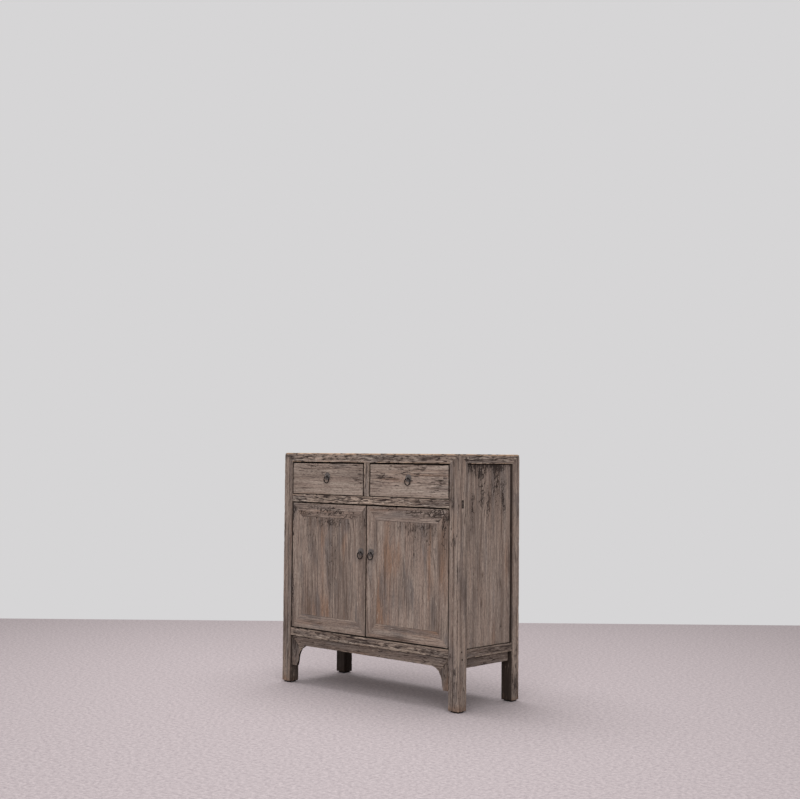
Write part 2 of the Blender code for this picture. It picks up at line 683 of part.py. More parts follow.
def make_side_aprons():
    """Plain recessed aprons under the side rails; their rear ends stop short of the back posts."""
    for side in (LEFT, RIGHT):
        outer = HALF_WIDTH - SIDE_APRON_RECESS
        x_ends = mirrored(side, (outer - SIDE_APRON_THICKNESS, outer))
        y_ends = (FRAME_Y[0], BACK_POST_FRONT - SIDE_APRON_SHORTFALL)
        z_ends = (APRON_BOTTOM_Z, BOTTOM_RAIL_Z - JOINT_GAP)
        apron = board(f"apron_{SIDE_NAMES[side]}", x_ends, y_ends, z_ends)
        finish(apron, APRON_ELM)


def axis_marker(name, place):
    """Empty on a joint's axis, which carries what moves with it."""
    marker = bpy.data.objects.new(name, None)
    marker.empty_display_size = POST_WIDTH
    marker.location = place
    bpy.context.scene.collection.objects.link(marker)
    return marker


def settle(thing, place):
    """Move a piece's origin to a place, leaving the piece where it is."""
    shift = thing.location - place
    for vert in thing.data.vertices:
        vert.co += shift
    thing.location = place


def hang(parent, *things):
    """Carry things on a marker, keeping them where they were modelled."""
    for thing in things:
        thing.parent = parent
        thing.location -= parent.location


def make_door(side):
    """Mitred frame and floating panel of one door, with its pull."""
    name = f"door_{SIDE_NAMES[side]}"
    hinge_x = OPENING_HALF - DOOR_SIDE_GAP
    meeting_x = DOOR_MEETING_GAP / 2
    inner_hinge_x = hinge_x - DOOR_FRAME_WIDTH
    inner_meeting_x = meeting_x + DOOR_FRAME_WIDTH
    inner_low = DOOR_BOTTOM_Z + DOOR_FRAME_WIDTH
    inner_high = DOOR_TOP_Z - DOOR_FRAME_WIDTH
    y_ends = (DOOR_FRONT_Y, DOOR_BACK_Y)
    tongue_y = door_tongue_y()
    reach = DOOR_TONGUE_LENGTH - JOINT_GAP
    tongue = (mirrored(side, (inner_meeting_x - reach, inner_hinge_x + reach)), tongue_y,
              (inner_low - reach, inner_high + reach))

    def framed(part, points):
        piece = prism(f"{name}_{part}", [(side * x, z) for x, z in points], facing_front, *y_ends)
        return cut(piece, hole_for(tongue))

    def stile(part, outer_x, inner_x):
        return framed(part, [(outer_x, DOOR_BOTTOM_Z + MITRE_GAP), (inner_x, inner_low + MITRE_GAP),
                             (inner_x, inner_high - MITRE_GAP), (outer_x, DOOR_TOP_Z - MITRE_GAP)])

    def rail(part, outer_z, inner_z):
        return framed(part, [(meeting_x + MITRE_GAP, outer_z), (hinge_x - MITRE_GAP, outer_z),
                             (inner_hinge_x - MITRE_GAP, inner_z),
                             (inner_meeting_x + MITRE_GAP, inner_z)])

    hinge_stile = stile("hinge_stile", hinge_x, inner_hinge_x)
    round_hinge_edge(hinge_stile, side * hinge_x)
    join(hinge_stile, *pivot_pins(side, 0))
    meeting_stile = stile("meeting_stile", meeting_x, inner_meeting_x)
    rails = (rail("top_rail", DOOR_TOP_Z, inner_high), rail("bottom_rail", DOOR_BOTTOM_Z, inner_low))
    for piece, pin_hole in zip(rails, pivot_pins(side, JOINT_GAP)):
        cut(piece, pin_hole)
    slab_x = mirrored(side, (inner_meeting_x + JOINT_GAP, inner_hinge_x - JOINT_GAP))
    slab_y = (DOOR_FRONT_Y + DOOR_PANEL_RECESS, tongue_y[1])
    panel = board(f"{name}_panel", slab_x, slab_y, (inner_low + JOINT_GAP, inner_high - JOINT_GAP))
    join(panel, board("tongue", *tongue))
    pull_x = side * (meeting_x + DOOR_PULL_FROM_EDGE)
    pull_place = (pull_x, DOOR_FRONT_Y, DOOR_BOTTOM_Z + DOOR_PULL_HEIGHT)
    cut(meeting_stile, shank_hole(pull_place, DOOR_THICKNESS))
    plate, ring = make_pull(name, pull_place, DOOR_THICKNESS)
    for piece in (hinge_stile, meeting_stile, *rails):
        finish(piece, FRAME_ELM)
    finish(panel, PANEL_ELM)
    axis = axis_marker(f"{name}_axis", (side * PIVOT_X, PIVOT_Y, DOOR_BOTTOM_Z))
    hang(axis, hinge_stile, meeting_stile, *rails, panel, plate, ring)


def door_tongue_y():
    """Front and back of the tongue round a door panel, level with the slab's back."""
    back = DOOR_FRONT_Y + DOOR_PANEL_RECESS + DOOR_PANEL_THICKNESS
    return (back - DOOR_TONGUE_THICKNESS, back)


def round_hinge_edge(stile, edge_x):
    """Ease the front corner of a hinge stile, so that it turns past the post."""
    bm = bmesh.new()
    bm.from_mesh(stile.data)
    edges = [edge for edge in bm.edges
             if all(abs(v.co.x - edge_x) < SAME_PLACE and abs(v.co.y - DOOR_FRONT_Y) < SAME_PLACE
                    for v in edge.verts)]
    bmesh.ops.bevel(bm, geom=edges, offset=HINGE_EDGE_RADIUS, segments=HINGE_EDGE_STEPS,
                    profile=ROUND_PROFILE, affect="EDGES")
    bm.to_mesh(stile.data)
    bm.free()


def pivot_pins(side, gap):
    """Wooden pins out of the hinge stile's top and bottom end, grown by a gap for their holes.

    A pin passes the mitred corner of the door's rail before it leaves the door.
    """
    place = (side * PIVOT_X, PIVOT_Y)
    root = PIVOT_FROM_EDGE + PIVOT_ROOT
    spans = ((DOOR_TOP_Z - root, MIDDLE_BOTTOM_Z + PIVOT_TOP_LENGTH),
             (BOTTOM_TOP_Z - PIVOT_BOTTOM_LENGTH, DOOR_BOTTOM_Z + root))
    radius = PIVOT_RADIUS + gap
    return [rod("pin", (*place, low), (*place, high), radius, PIVOT_SIDES) for low, high in spans]


def make_drawer(side):
    """Front, two sides, back and bottom of one drawer, with its pull."""
    name = f"drawer_{SIDE_NAMES[side]}"
    near_x = DIVIDER_WIDTH / 2 + DRAWER_SIDE_GAP
    far_x = OPENING_HALF - DRAWER_SIDE_GAP
    face_y = FRONT_Y + FRONT_RECESS
    box_y = (face_y + DRAWER_FRONT_THICKNESS + JOINT_GAP, BACK_PANEL_Y[0] - DRAWER_BACK_GAP)
    side_z = (MIDDLE_TOP_Z + JOINT_GAP, MIDDLE_TOP_Z + JOINT_GAP + DRAWER_SIDE_HEIGHT)
    bottom_low = side_z[0] + DRAWER_BOTTOM_RAISE
    bottom_z = (bottom_low, bottom_low + DRAWER_BOTTOM_THICKNESS)
    groove = DRAWER_GROOVE_DEPTH - JOINT_GAP
    inner_x = (near_x + DRAWER_WALL, far_x - DRAWER_WALL)
    bottom_ends = (mirrored(side, (inner_x[0] - groove, inner_x[1] + groove)),
                   (box_y[0] - JOINT_GAP - groove, box_y[1]), bottom_z)
    front_z = (MIDDLE_TOP_Z + DRAWER_BOTTOM_GAP, TOP_RAIL_Z - DRAWER_TOP_GAP)
    front = board(f"{name}_front", mirrored(side, (near_x, far_x)),
                  (face_y, face_y + DRAWER_FRONT_THICKNESS), front_z)
    pull_place = (side * (near_x + far_x) / 2, face_y, front_z[0] + DRAWER_PULL_HEIGHT)
    cut(front, hole_for(bottom_ends), shank_hole(pull_place, DRAWER_FRONT_THICKNESS))
    finish(front, PANEL_ELM)
    walls = []
    for wall_x in ((near_x, inner_x[0]), (inner_x[1], far_x)):
        x_ends = mirrored(side, wall_x)
        hand = "left" if sum(x_ends) < side * (near_x + far_x) else "right"
        wall = board(f"{name}_side_{hand}", x_ends, box_y, side_z)
        walls.append(cut(wall, hole_for(bottom_ends)))
    back = board(f"{name}_back", mirrored(side, (inner_x[0] + JOINT_GAP, inner_x[1] - JOINT_GAP)),
                 (box_y[1] - DRAWER_WALL, box_y[1]), (bottom_z[1] + JOINT_GAP, side_z[1]))
    bottom = board(f"{name}_bottom", *bottom_ends)
    plate, ring = make_pull(name, pull_place, DRAWER_FRONT_THICKNESS)
    for piece in (*walls, back, bottom):
        finish(piece, INNER_WOOD)
    slide = axis_marker(f"{name}_slide", (side * (near_x + far_x) / 2, face_y, MIDDLE_TOP_Z))
    hang(slide, front, *walls, back, bottom, plate, ring)


def shank_hole(place, thickness):
    """Cutter for the hole of a pull's pin through a board."""
    x, y, z = place
    radius = SHANK_RADIUS + JOINT_GAP
    return rod("hole", (x, y - thickness, z), (x, y + 2 * thickness, z), radius, WIRE_SIDES)


def make_pull(owner, place, thickness):
    """Round plate with its eye and clenched pin, and the ring that swings in the eye."""
    x, face_y, z = place
    plate_y = (face_y - JOINT_GAP - PLATE_THICKNESS, face_y - JOINT_GAP)
    eye_y = face_y - EYE_STANDOFF
    back_y = face_y + thickness + JOINT_GAP
    plate = rod(f"{owner}_pull_plate", (x, plate_y[0], z), (x, plate_y[1], z), PLATE_RADIUS, PLATE_SIDES)
    eye = wire_loop("eye", (x, eye_y, z), (0, -1, 0), (0, 0, 1), EYE_RADIUS, EYE_WIRE_RADIUS, EYE_SIDES)
    shank_y = ((plate_y[0] + plate_y[1]) / 2, back_y + TAIL_THICKNESS / 2)
    shank = rod("shank", (x, shank_y[0], z), (x, shank_y[1], z), SHANK_RADIUS, WIRE_SIDES)
    tail = board("tail", (x - TAIL_WIDTH / 2, x + TAIL_WIDTH / 2), (back_y, back_y + TAIL_THICKNESS),
                 (z - TAIL_LENGTH / 2, z + TAIL_LENGTH / 2))
    join(plate, eye, shank, tail)
    ring = wire_loop(f"{owner}_pull_ring", (x, eye_y, z - RING_RADIUS), (0, 0, 1), (1, 0, 0),
                     RING_RADIUS, RING_WIRE_RADIUS, RING_SIDES)
    for piece in (plate, ring):
        piece.data.shade_smooth()
        piece.data.set_sharp_from_angle(angle=SHARP_ANGLE)
        finish(piece, OLD_IRON)
    settle(ring, Vector((x, eye_y, z)))
    return plate, ring


def finish(thing, kind):
    """Give a piece a material of its own in one kind of finish, and an origin at its middle."""
    material = bpy.data.materials.new(f"{thing.name}_{kind.name}")
    material.use_nodes = True
    shader = material.node_tree.nodes["Principled BSDF"]
    shader.inputs["Base Color"].default_value = (*kind.colour, 1.0)
    shader.inputs["Roughness"].default_value = kind.roughness
    shader.inputs["Metallic"].default_value = kind.metallic
    thing.data.materials.clear()
    thing.data.materials.append(material)
    places = [vert.co for vert in thing.data.vertices]
    middle = [(min(p[i] for p in places) + max(p[i] for p in places)) / 2 for i in range(3)]
    settle(thing, thing.location + Vector(middle))


def main():
    """Build the whole sideboard."""
    clear_scene()
    make_posts()
    make_pads()
    make_top_frame()
    make_divider()
    make_front_rails()
    make_back_rails()
    make_side_rails()
    make_panels()
    make_floor()
    make_runners()
    make_front_apron()
    make_side_aprons()
    for side in (LEFT, RIGHT):
        make_drawer(side)
        make_door(side)


main()
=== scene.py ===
"""Looks of an old elm sideboard with two drawers and two doors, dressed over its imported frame.

Every piece is made in metres in the frame's own place: X runs along the front, the front faces -Y
and Z points up. Timber is made as sticks, each a planed section swept along its grain, and one
Geometry Nodes tree then wears it. Iron loops are swept by a second tree, and a third sets the pegs.
"""
import logging
import math
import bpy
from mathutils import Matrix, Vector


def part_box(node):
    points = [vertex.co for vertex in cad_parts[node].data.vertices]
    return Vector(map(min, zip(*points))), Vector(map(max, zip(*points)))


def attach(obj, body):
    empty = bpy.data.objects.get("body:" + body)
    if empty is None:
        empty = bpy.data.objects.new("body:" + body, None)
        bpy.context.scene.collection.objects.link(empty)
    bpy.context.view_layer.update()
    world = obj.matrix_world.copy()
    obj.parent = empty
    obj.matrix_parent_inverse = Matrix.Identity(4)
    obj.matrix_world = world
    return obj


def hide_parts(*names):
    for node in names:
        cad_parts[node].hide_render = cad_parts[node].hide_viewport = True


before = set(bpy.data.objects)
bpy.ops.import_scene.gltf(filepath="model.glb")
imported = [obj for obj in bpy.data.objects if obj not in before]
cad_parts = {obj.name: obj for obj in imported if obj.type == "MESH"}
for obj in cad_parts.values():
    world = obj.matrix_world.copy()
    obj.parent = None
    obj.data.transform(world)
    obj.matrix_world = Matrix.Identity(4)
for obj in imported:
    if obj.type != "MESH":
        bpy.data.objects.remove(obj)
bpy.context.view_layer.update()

import zlib
from dataclasses import dataclass, field
from enum import Enum
from typing import Any, Iterable

import bmesh
import bpy
import numpy as np
from mathutils import Matrix, Vector

LOG = logging.getLogger("sideboard")

Tree = bpy.types.NodeTree
Node = bpy.types.Node
Socket = bpy.types.NodeSocket

# Names of the attributes that carry the wood's own coordinates and its marks to the materials
GRAIN = "grain"
EDGE = "edge"
# The groove mark carries dirt in joints and seams, and painted shade on faces in gaps, in recesses and under
# the cabinet
GROOVE = "groove"
STAIN = "stain"
WARMTH = "warmth"
MARKS = (EDGE, GROOVE, STAIN, WARMTH)

MM = 0.001
SMOOTH_ANGLE = math.radians(38)
GRAIN_SPREAD = 20.0
SEED_SPREAD = 50
BOARD_SHIFT = (3.7, 0.9)

# Lines and rings of a stick: widths, and the steps between them
ARRIS_BAND = 3.5 * MM
BAND_LIMITS = (0.45, 0.55)
ARC_STEPS = 3
LINE_CLEAR = 1 * MM
JOINT_LINE = 1.6 * MM
JOINT_SHARE = 0.3
RING_STEP = 9 * MM
BOARD_STEP = 9 * MM
BEAD_STEP = 4 * MM
POST_STEP = 5 * MM
END_SOIL = 0.7

# Lines across a ridge, from its arris inwards: share of its width, share of the sink, edge mark, groove mark
RIDGE_LINES = ((0.0, 0.1, 1.0, 0.0), (0.3, 0.0, 0.8, 0.0), (0.6, 0.08, 0.5, 0.0),
               (0.85, 0.5, 0.1, 0.2), (1.0, 0.95, 0.0, 0.6), (1.12, 1.0, 0.0, 0.55))
CHANNEL_SOIL = 0.5
CHANNEL_CROWN = 0.25

# Lines across a narrow groove: share of its half width, share of its depth
QUIRK_LINES = ((-1, 0), (-0.45, 1), (0.45, 1), (1, 0))
QUIRK_RUB = 0.5

# Lip of a worn end: where it lies and how far it is set in, as shares of the wear, and how rubbed it is
LIP = (0.25, 0.4)
LIP_RUBS = (0.5, 0.7)

# A turned pin: its eased edge and its flat end as shares of the radius, its facets, its two marks
PIN_EASE = 0.15
PIN_FLAT = 0.6
PIN_STEPS = 18
PIN_MARKS = (0.5, 0.3)

# Easing of a CAD solid: merging distances, angles, and sizes as shares of the rounding
CAD_MERGE = 0.01 * MM
BEVEL_MERGE = 0.02 * MM
FLAT_ANGLE = math.radians(1)
SHARP_ANGLE = math.radians(30)
WIDE_FACE = 8
RIM_BAND = 1.5


class Axis(Enum):
    """World axes."""

    X = 0
    Y = 1
    Z = 2


class Mark(Enum):
    """What a placed mark does to the wood, by the attribute that carries it."""

    DARK = STAIN
    WARM = WARMTH


class EndCut(Enum):
    """How the end of a stick is cut."""

    SQUARE = "square across the grain"
    MITRE = "at 45 degrees across the shown face"
    CORNER = "to a point, mitred against two neighbours"


class Input(Enum):
    """Kinds of named input that a Geometry Nodes tree takes."""

    FLOAT = "NodeSocketFloat"
    WHOLE = "NodeSocketInt"
    VECTOR = "NodeSocketVector"
    MATERIAL = "NodeSocketMaterial"


def linear(colour: str) -> tuple[float, float, float, float]:
    """Turn an sRGB hex colour into linear light.

    Args:
        colour: six hex digits after a hash sign.

    Returns:
        Red, green, blue and full opacity.
    """
    parts = [int(colour[i:i + 2], 16) / 255 for i in (1, 3, 5)]
    return (*[c / 12.92 if c <= 0.04045 else ((c + 0.055) / 1.055) ** 2.4 for c in parts], 1.0)


def add(tree: Tree, kind: str, sockets: dict[Any, Any] | None = None, **settings: Any) -> Node:
    """Add a node with its settings and links.

    Args:
        tree: the node tree that gets the node.
        kind: the node's type name.
        sockets: inputs by name or number, each with a value or with an output to link.
        settings: properties of the node.

    Returns:
        The new node.
    """
    node = tree.nodes.new(kind)
    for name, value in settings.items():
        setattr(node, name, value)
    for key, value in (sockets or {}).items():
        if isinstance(value, Socket):
            tree.links.new(value, node.inputs[key])
        else:
            node.inputs[key].default_value = value
    return node


def seed_of(name: str) -> np.random.Generator:
    """Fixed random numbers for a piece, from its name."""
    return np.random.default_rng(zlib.crc32(name.encode()))


def stretched(tree: Tree, place: Socket, along: float, across: float) -> Socket:
    """Scale coordinates to a pattern that is drawn out along the grain.

    Args:
        tree: the material's tree.
        place: coordinates in metres, the first of them along the grain.
        along: the pattern's size along the grain, in millimetres.
        across: its size across the grain, in millimetres.

    Returns:
        Coordinates in sizes of the pattern.
    """
    rate = 1 / (across * MM)
    scaled = add(tree, "ShaderNodeVectorMath", {0: place, 1: (1 / (along * MM), rate, rate)},
                 operation="MULTIPLY")
    return scaled.outputs[0]


@dataclass(frozen=True)
class Pattern:
    """Noise drawn out along the grain, with levels that turn it into a mask.

    Sizes are in millimetres. What is lifted by a mark on the wood shows more where the mark is.
    """

    along: float
    across: float
    low: float
    high: float
    strength: float = 1.0
    detail: float = 3.0
    rough: float = 0.55
    lift: float = 0.0

    def draw(self, tree: Tree, place: Socket, mark: Any = 0.0) -> Socket:
        """Add the pattern's nodes.

        Args:
            tree: the material's tree.
            place: coordinates in metres, the first of them along the grain.
            mark: socket of the mark that lifts the pattern.

        Returns:
            The mask, from 0 to the pattern's strength.
        """
        noise = add(tree, "ShaderNodeTexNoise", {
            "Vector": stretched(tree, place, self.along, self.across), "Scale": 1.0,
            "Detail": self.detail, "Roughness": self.rough})
        raised = add(tree, "ShaderNodeMath", {0: mark, 1: self.lift, 2: noise.outputs[0]},
                     operation="MULTIPLY_ADD")
        levels = add(tree, "ShaderNodeMapRange", {
            "Value": raised.outputs[0], "From Min": self.low, "From Max": self.high,
            "To Max": self.strength}, interpolation_type="SMOOTHSTEP")
        return levels.outputs[0]


@dataclass(frozen=True)
class GrowthRings:
    """Growth rings cut lengthwise: each darkens slowly across its width and ends in a thin, broken line.

    The spacing is in millimetres, and the rings lean by the tilt. The darkening starts at a share of
    each ring's width. The line is full up to its first level and gone at its second.
    """

    spacing: float = 9.0
    tilt: float = 0.6
    wander: Pattern = Pattern(640, 60, 0.2, 0.8, 4.0, detail=2)
    shown: Pattern = Pattern(170, 11, 0.47, 0.62, 1.0, lift=0.2)
    slow: float = 0.16
    slow_from: float = 0.2
    line: float = 0.75
    line_levels: tuple[float, float] = (0.05, 0.18)

    def draw(self, tree: Tree, place: Socket, mark: Any) -> tuple[Socket, Socket]:
        """Add the rings' nodes.

        Args:
            tree: the material's tree.
            place: coordinates in metres, the first of them along the grain.
            mark: socket of the mark that brings the lines out.

        Returns:
            The mask of the slow darkening and the mask of the lines.
        """
        rate = 1 / (self.spacing * MM)
        across = add(tree, "ShaderNodeVectorMath", {0: place, 1: (0.0, rate, self.tilt * rate)},
                     operation="DOT_PRODUCT")
        phase = add(tree, "ShaderNodeMath", {
            0: across.outputs["Value"], 1: self.wander.draw(tree, place)}, operation="ADD").outputs[0]
        ring = add(tree, "ShaderNodeMath", {0: phase}, operation="FRACT")
        slow = add(tree, "ShaderNodeMapRange", {
            "Value": ring.outputs[0], "From Min": self.slow_from, "From Max": 1.0,
            "To Max": self.slow}, interpolation_type="SMOOTHSTEP")
        near = add(tree, "ShaderNodeMath", {0: phase, 1: 0.5}, operation="PINGPONG")
        full, gone = self.line_levels
        line = add(tree, "ShaderNodeMapRange", {
            "Value": near.outputs[0], "From Min": full, "From Max": gone,
            "To Min": self.line, "To Max": 0.0})
        broken = add(tree, "ShaderNodeMath", {
            0: line.outputs[0], 1: self.shown.draw(tree, place, mark)}, operation="MULTIPLY")
        return slow.outputs[0], broken.outputs[0]


@dataclass(frozen=True)
class Alligatoring:
    """Net of cracks in old lacquer, whose lines thin out to nothing away from a stain.

    The size of the net's cells is in millimetres, and the lines' width and softness are shares of it.
    """

    along: float = 20.0
    across: float = 11.0
    width: float = 0.15
    soft: float = 0.07
    strength: float = 0.8
    bend: Pattern = Pattern(12, 12, 0.2, 0.8, 0.7, detail=4)
    shown: Pattern = Pattern(24, 12, 0.70, 0.98, detail=4, rough=0.6, lift=0.5)

    def draw(self, tree: Tree, place: Socket, mark: Any) -> Socket:
        """Add the cracks' nodes.

        Args:
            tree: the material's tree.
            place: coordinates in metres, the first of them along the grain.
            mark: socket of the mark that widens the cracks.

        Returns:
            The mask of the cracks.
        """
        scaled = stretched(tree, place, self.along, self.across)
        bent = add(tree, "ShaderNodeVectorMath", {0: scaled, 1: self.bend.draw(tree, place)}, operation="ADD")
        cells = add(tree, "ShaderNodeTexVoronoi", {"Vector": bent.outputs[0], "Scale": 1.0},
                    feature="DISTANCE_TO_EDGE")
        reach = add(tree, "ShaderNodeMath", {0: self.shown.draw(tree, place, mark), 1: self.width},
                    operation="MULTIPLY")
        inside = add(tree, "ShaderNodeMath", {0: reach.outputs[0], 1: cells.outputs["Distance"]},
                     operation="SUBTRACT")
        levels = add(tree, "ShaderNodeMapRange", {
            "Value": inside.outputs[0], "From Min": 0.0, "From Max": self.soft, "To Max": self.strength})
        return levels.outputs[0]


@dataclass(frozen=True)
class Surface:
    """A material by its common name, with one shader that its nodes feed."""

    name: str

    def make(self) -> bpy.types.Material:
        """Build the material.

        Returns:
            The material.
        """
        material = bpy.data.materials.new(self.name)
        material.use_nodes = True
        tree = material.node_tree
        tree.nodes.clear()
        shader = add(tree, "ShaderNodeBsdfPrincipled")
        add(tree, "ShaderNodeOutputMaterial", {"Surface": shader.outputs[0]})
        self.dress(tree, shader)
        return material

    def dress(self, tree: Tree, shader: Node) -> None:
        """Add the nodes that feed the shader.

        Args:
            tree: the material's tree.
            shader: the shader to feed.
        """
        raise NotImplementedError

    @staticmethod
    def paint(tree: Tree, shader: Node, ground: str, layers: Iterable[tuple[str, Socket]]) -> None:
        """Lay colours over each other.

        Args:
            tree: the material's tree.
            shader: the shader that gets the colour.
            ground: the lowest colour.
            layers: each colour above it, with the mask that shows it.
        """
        colour: Any = linear(ground)
        for over, mask in layers:
            mixed = add(tree, "ShaderNodeMix", {0: mask, 6: colour, 7: linear(over)}, data_type="RGBA")
            colour = mixed.outputs[2]
        tree.links.new(colour, shader.inputs["Base Color"])

    @staticmethod
    def roughen(tree: Tree, shader: Node, mask: Socket, levels: tuple[float, float], height: Socket,
                bump: tuple[float, float], invert: bool = False) -> None:
        """Give the surface its roughness and its bump.

        Args:
            tree: the material's tree.
            shader: the shader to feed.
            mask: what the roughness follows.
            levels: roughness where the mask is 0 and where it is 1.
            height: what the bump follows.
            bump: strength and distance of the bump.
            invert: whether the height goes into the surface.
        """
        dull = add(tree, "ShaderNodeMapRange", {"Value": mask, "To Min": levels[0], "To Max": levels[1]})
        tree.links.new(dull.outputs[0], shader.inputs["Roughness"])
        raised = add(tree, "ShaderNodeBump", {"Strength": bump[0], "Distance": bump[1], "Height": height},
                     invert=invert)
        tree.links.new(raised.outputs[0], shader.inputs["Normal"])


@dataclass(frozen=True)
class WeatheredElm(Surface):
    """Old elm, scraped of its lacquer and left to grey: silvery ridges, brown hollows and dark flakes.

    The eye gets growth rings in grey and brown, dark open pores and checks that crowd together in
    places, cracked dark remains of lacquer, paler rubbed edges, and dirt and painted shade in the grooves and
    gaps.
    """

    ground: str = "#9a877b"
    pale: str = "#b8a99d"
    deep: str = "#5a4d46"
    warm: str = "#9e7c65"
    cool: str = "#736e6d"
    late: str = "#54433a"
    light: str = "#c4b6a9"
    flake: str = "#2c211c"
    pore: str = "#372b27"
    bare: str = "#ad9a89"
    # Near-black laid where the groove mark is high: dirt in joints, and painted shade in gaps, recesses and
    # under the cabinet
    dirt_and_shade: str = "#150c08"
    tone: Pattern = Pattern(320, 18, 0.34, 0.68, 0.7, detail=5, rough=0.62)
    glow: Pattern = Pattern(360, 36, 0.54, 0.78, 0.75, detail=4, lift=0.4)
    wash: Pattern = Pattern(200, 44, 0.49, 0.74, 0.65, detail=4, lift=0.3)
    broad: Pattern = Pattern(420, 85, 0.47, 0.72, 0.50, detail=2, lift=0.25)
    shade: Pattern = Pattern(240, 20, 0.52, 0.76, 0.4, detail=4, lift=0.06)
    streak: Pattern = Pattern(150, 5, 0.53, 0.70, 0.40, detail=4, lift=0.08)
    speck: Pattern = Pattern(12, 4.2, 0.45, 0.62, 0.40, detail=4, rough=0.65)
    fibre: Pattern = Pattern(70, 1.6, 0.40, 0.68, 0.35)
    fleck: Pattern = Pattern(34, 4.4, 0.60, 0.68, 0.45, detail=4, rough=0.62)
    vein: Pattern = Pattern(160, 1.4, 0.61, 0.70, 0.7, detail=2)
    crowd: Pattern = Pattern(150, 40, 0.52, 0.76, 0.4, detail=4)
    dash: Pattern = Pattern(24, 4.4, 0.675, 0.715, 0.9, detail=4, rough=0.6, lift=0.24)
    cross: Pattern = Pattern(7, 16, 0.70, 0.88, 0.6, detail=5, rough=0.65, lift=0.25)
    remnant: Pattern = Pattern(44, 5.5, 0.75, 0.79, 0.9, detail=6, rough=0.68, lift=0.30)
    rubbed: Pattern = Pattern(50, 10, 0.95, 1.30, 0.7, detail=4, lift=0.75)
    # Dark flakes where the groove mark is high: grime, and painted shade on faces in gaps and under the
    # cabinet
    grime_and_shade: Pattern = Pattern(38, 7, 0.76, 0.94, 0.85, detail=5, rough=0.65, lift=0.6)
    rings: GrowthRings = GrowthRings()
    cracks: Alligatoring = Alligatoring()
    gap_patchy: float = -0.07
    gap_levels: tuple[float, float] = (0.75, 1.0)
    roughness: tuple[float, float] = (0.86, 0.62)
    gloss: tuple[float, float] = (0.35, 0.05)
    bump: tuple[float, float] = (0.6, 0.6 * MM)

    def dress(self, tree: Tree, shader: Node) -> None:
        """Add the nodes of the grain, its marks and its dirt.

        Args:
            tree: the material's tree.
            shader: the shader to feed.
        """
        marks = {name: add(tree, "ShaderNodeAttribute", attribute_name=name) for name in (GRAIN, *MARKS)}
        place = marks[GRAIN].outputs["Vector"]
        edge, groove, stain, warmth = (marks[name].outputs["Fac"] for name in MARKS)
        crowd = add(tree, "ShaderNodeMath", {0: self.crowd.draw(tree, place), 1: stain},
                    operation="ADD").outputs[0]
        streak = self.streak.draw(tree, place, crowd)
        fibre = self.fibre.draw(tree, place)
        speck = self.speck.draw(tree, place)
        vein = self.vein.draw(tree, place)
        dash = self.dash.draw(tree, place, crowd)
        remnant = self.remnant.draw(tree, place, crowd)
        slow, line = self.rings.draw(tree, place, crowd)
        cracks = self.cracks.draw(tree, place, stain)
        tone = self.tone.draw(tree, place)
        # Dirt and painted shade: the gap mask turns a high groove mark near-black, a little patchy with the
        # tone
        patchy = add(tree, "ShaderNodeMath", {0: tone, 1: self.gap_patchy, 2: groove},
                     operation="MULTIPLY_ADD")
        gap = add(tree, "ShaderNodeMapRange", {
            "Value": patchy.outputs[0], "From Min": self.gap_levels[0],
            "From Max": self.gap_levels[1]}).outputs[0]
        self.paint(tree, shader, self.ground, (
            (self.pale, tone),
            (self.warm, self.glow.draw(tree, place, warmth)),
            (self.cool, self.wash.draw(tree, place, stain)),
            (self.deep, self.broad.draw(tree, place, stain)),
            (self.deep, self.shade.draw(tree, place, stain)),
            (self.deep, slow),
            (self.deep, streak),
            (self.deep, fibre),
            (self.deep, speck),
            (self.light, self.fleck.draw(tree, place)),
            (self.bare, self.rubbed.draw(tree, place, edge)),
            (self.pore, vein),
            (self.late, line),
            (self.pore, dash),
            (self.flake, remnant),
            (self.flake, self.cross.draw(tree, place, stain)),
            (self.flake, cracks),
            (self.flake, self.grime_and_shade.draw(tree, place, groove)),
            (self.dirt_and_shade, gap),
        ))
        height = fibre
        for hollow in (streak, speck, vein, line, dash, cracks, remnant):
            height = add(tree, "ShaderNodeMath", {0: height, 1: hollow}, operation="ADD").outputs[0]
        self.roughen(tree, shader, tone, self.roughness, height, self.bump, invert=True)
        gloss = add(tree, "ShaderNodeMapRange", {
            "Value": gap, "To Min": self.gloss[0], "To Max": self.gloss[1]})
        tree.links.new(gloss.outputs[0], shader.inputs["Specular IOR Level"])


@dataclass(frozen=True)
class ForgedIron(Surface):
    """Hand-forged iron with a dry black skin: dark grey with dull rubbed spots and a little rust."""

    skin: str = "#3a3536"
    rubbed: str = "#77757a"
    rust: str = "#5a3f31"
    rubbed_spots: Pattern = Pattern(5, 5, 0.5, 0.7, 0.9)
    rust_spots: Pattern = Pattern(3, 3, 0.58, 0.72, 0.7, detail=5)
    dents: Pattern = Pattern(2.2, 2.2, 0.3, 0.7)
    metallic: float = 0.75
    roughness: tuple[float, float] = (0.46, 0.82)
    gloss: float = 0.2
    bump: tuple[float, float] = (0.5, 0.25 * MM)

    def dress(self, tree: Tree, shader: Node) -> None:
        """Add the nodes of the skin, its spots and its dents.

        Args:
            tree: the material's tree.
            shader: the shader to feed.
        """
        place = add(tree, "ShaderNodeTexCoord").outputs["Object"]
        rust = self.rust_spots.draw(tree, place)
        self.paint(tree, shader, self.skin, (
            (self.rubbed, self.rubbed_spots.draw(tree, place)), (self.rust, rust)))
        self.roughen(tree, shader, rust, self.roughness, self.dents.draw(tree, place), self.bump)
        shader.inputs["Metallic"].default_value = self.metallic
        shader.inputs["Specular IOR Level"].default_value = self.gloss


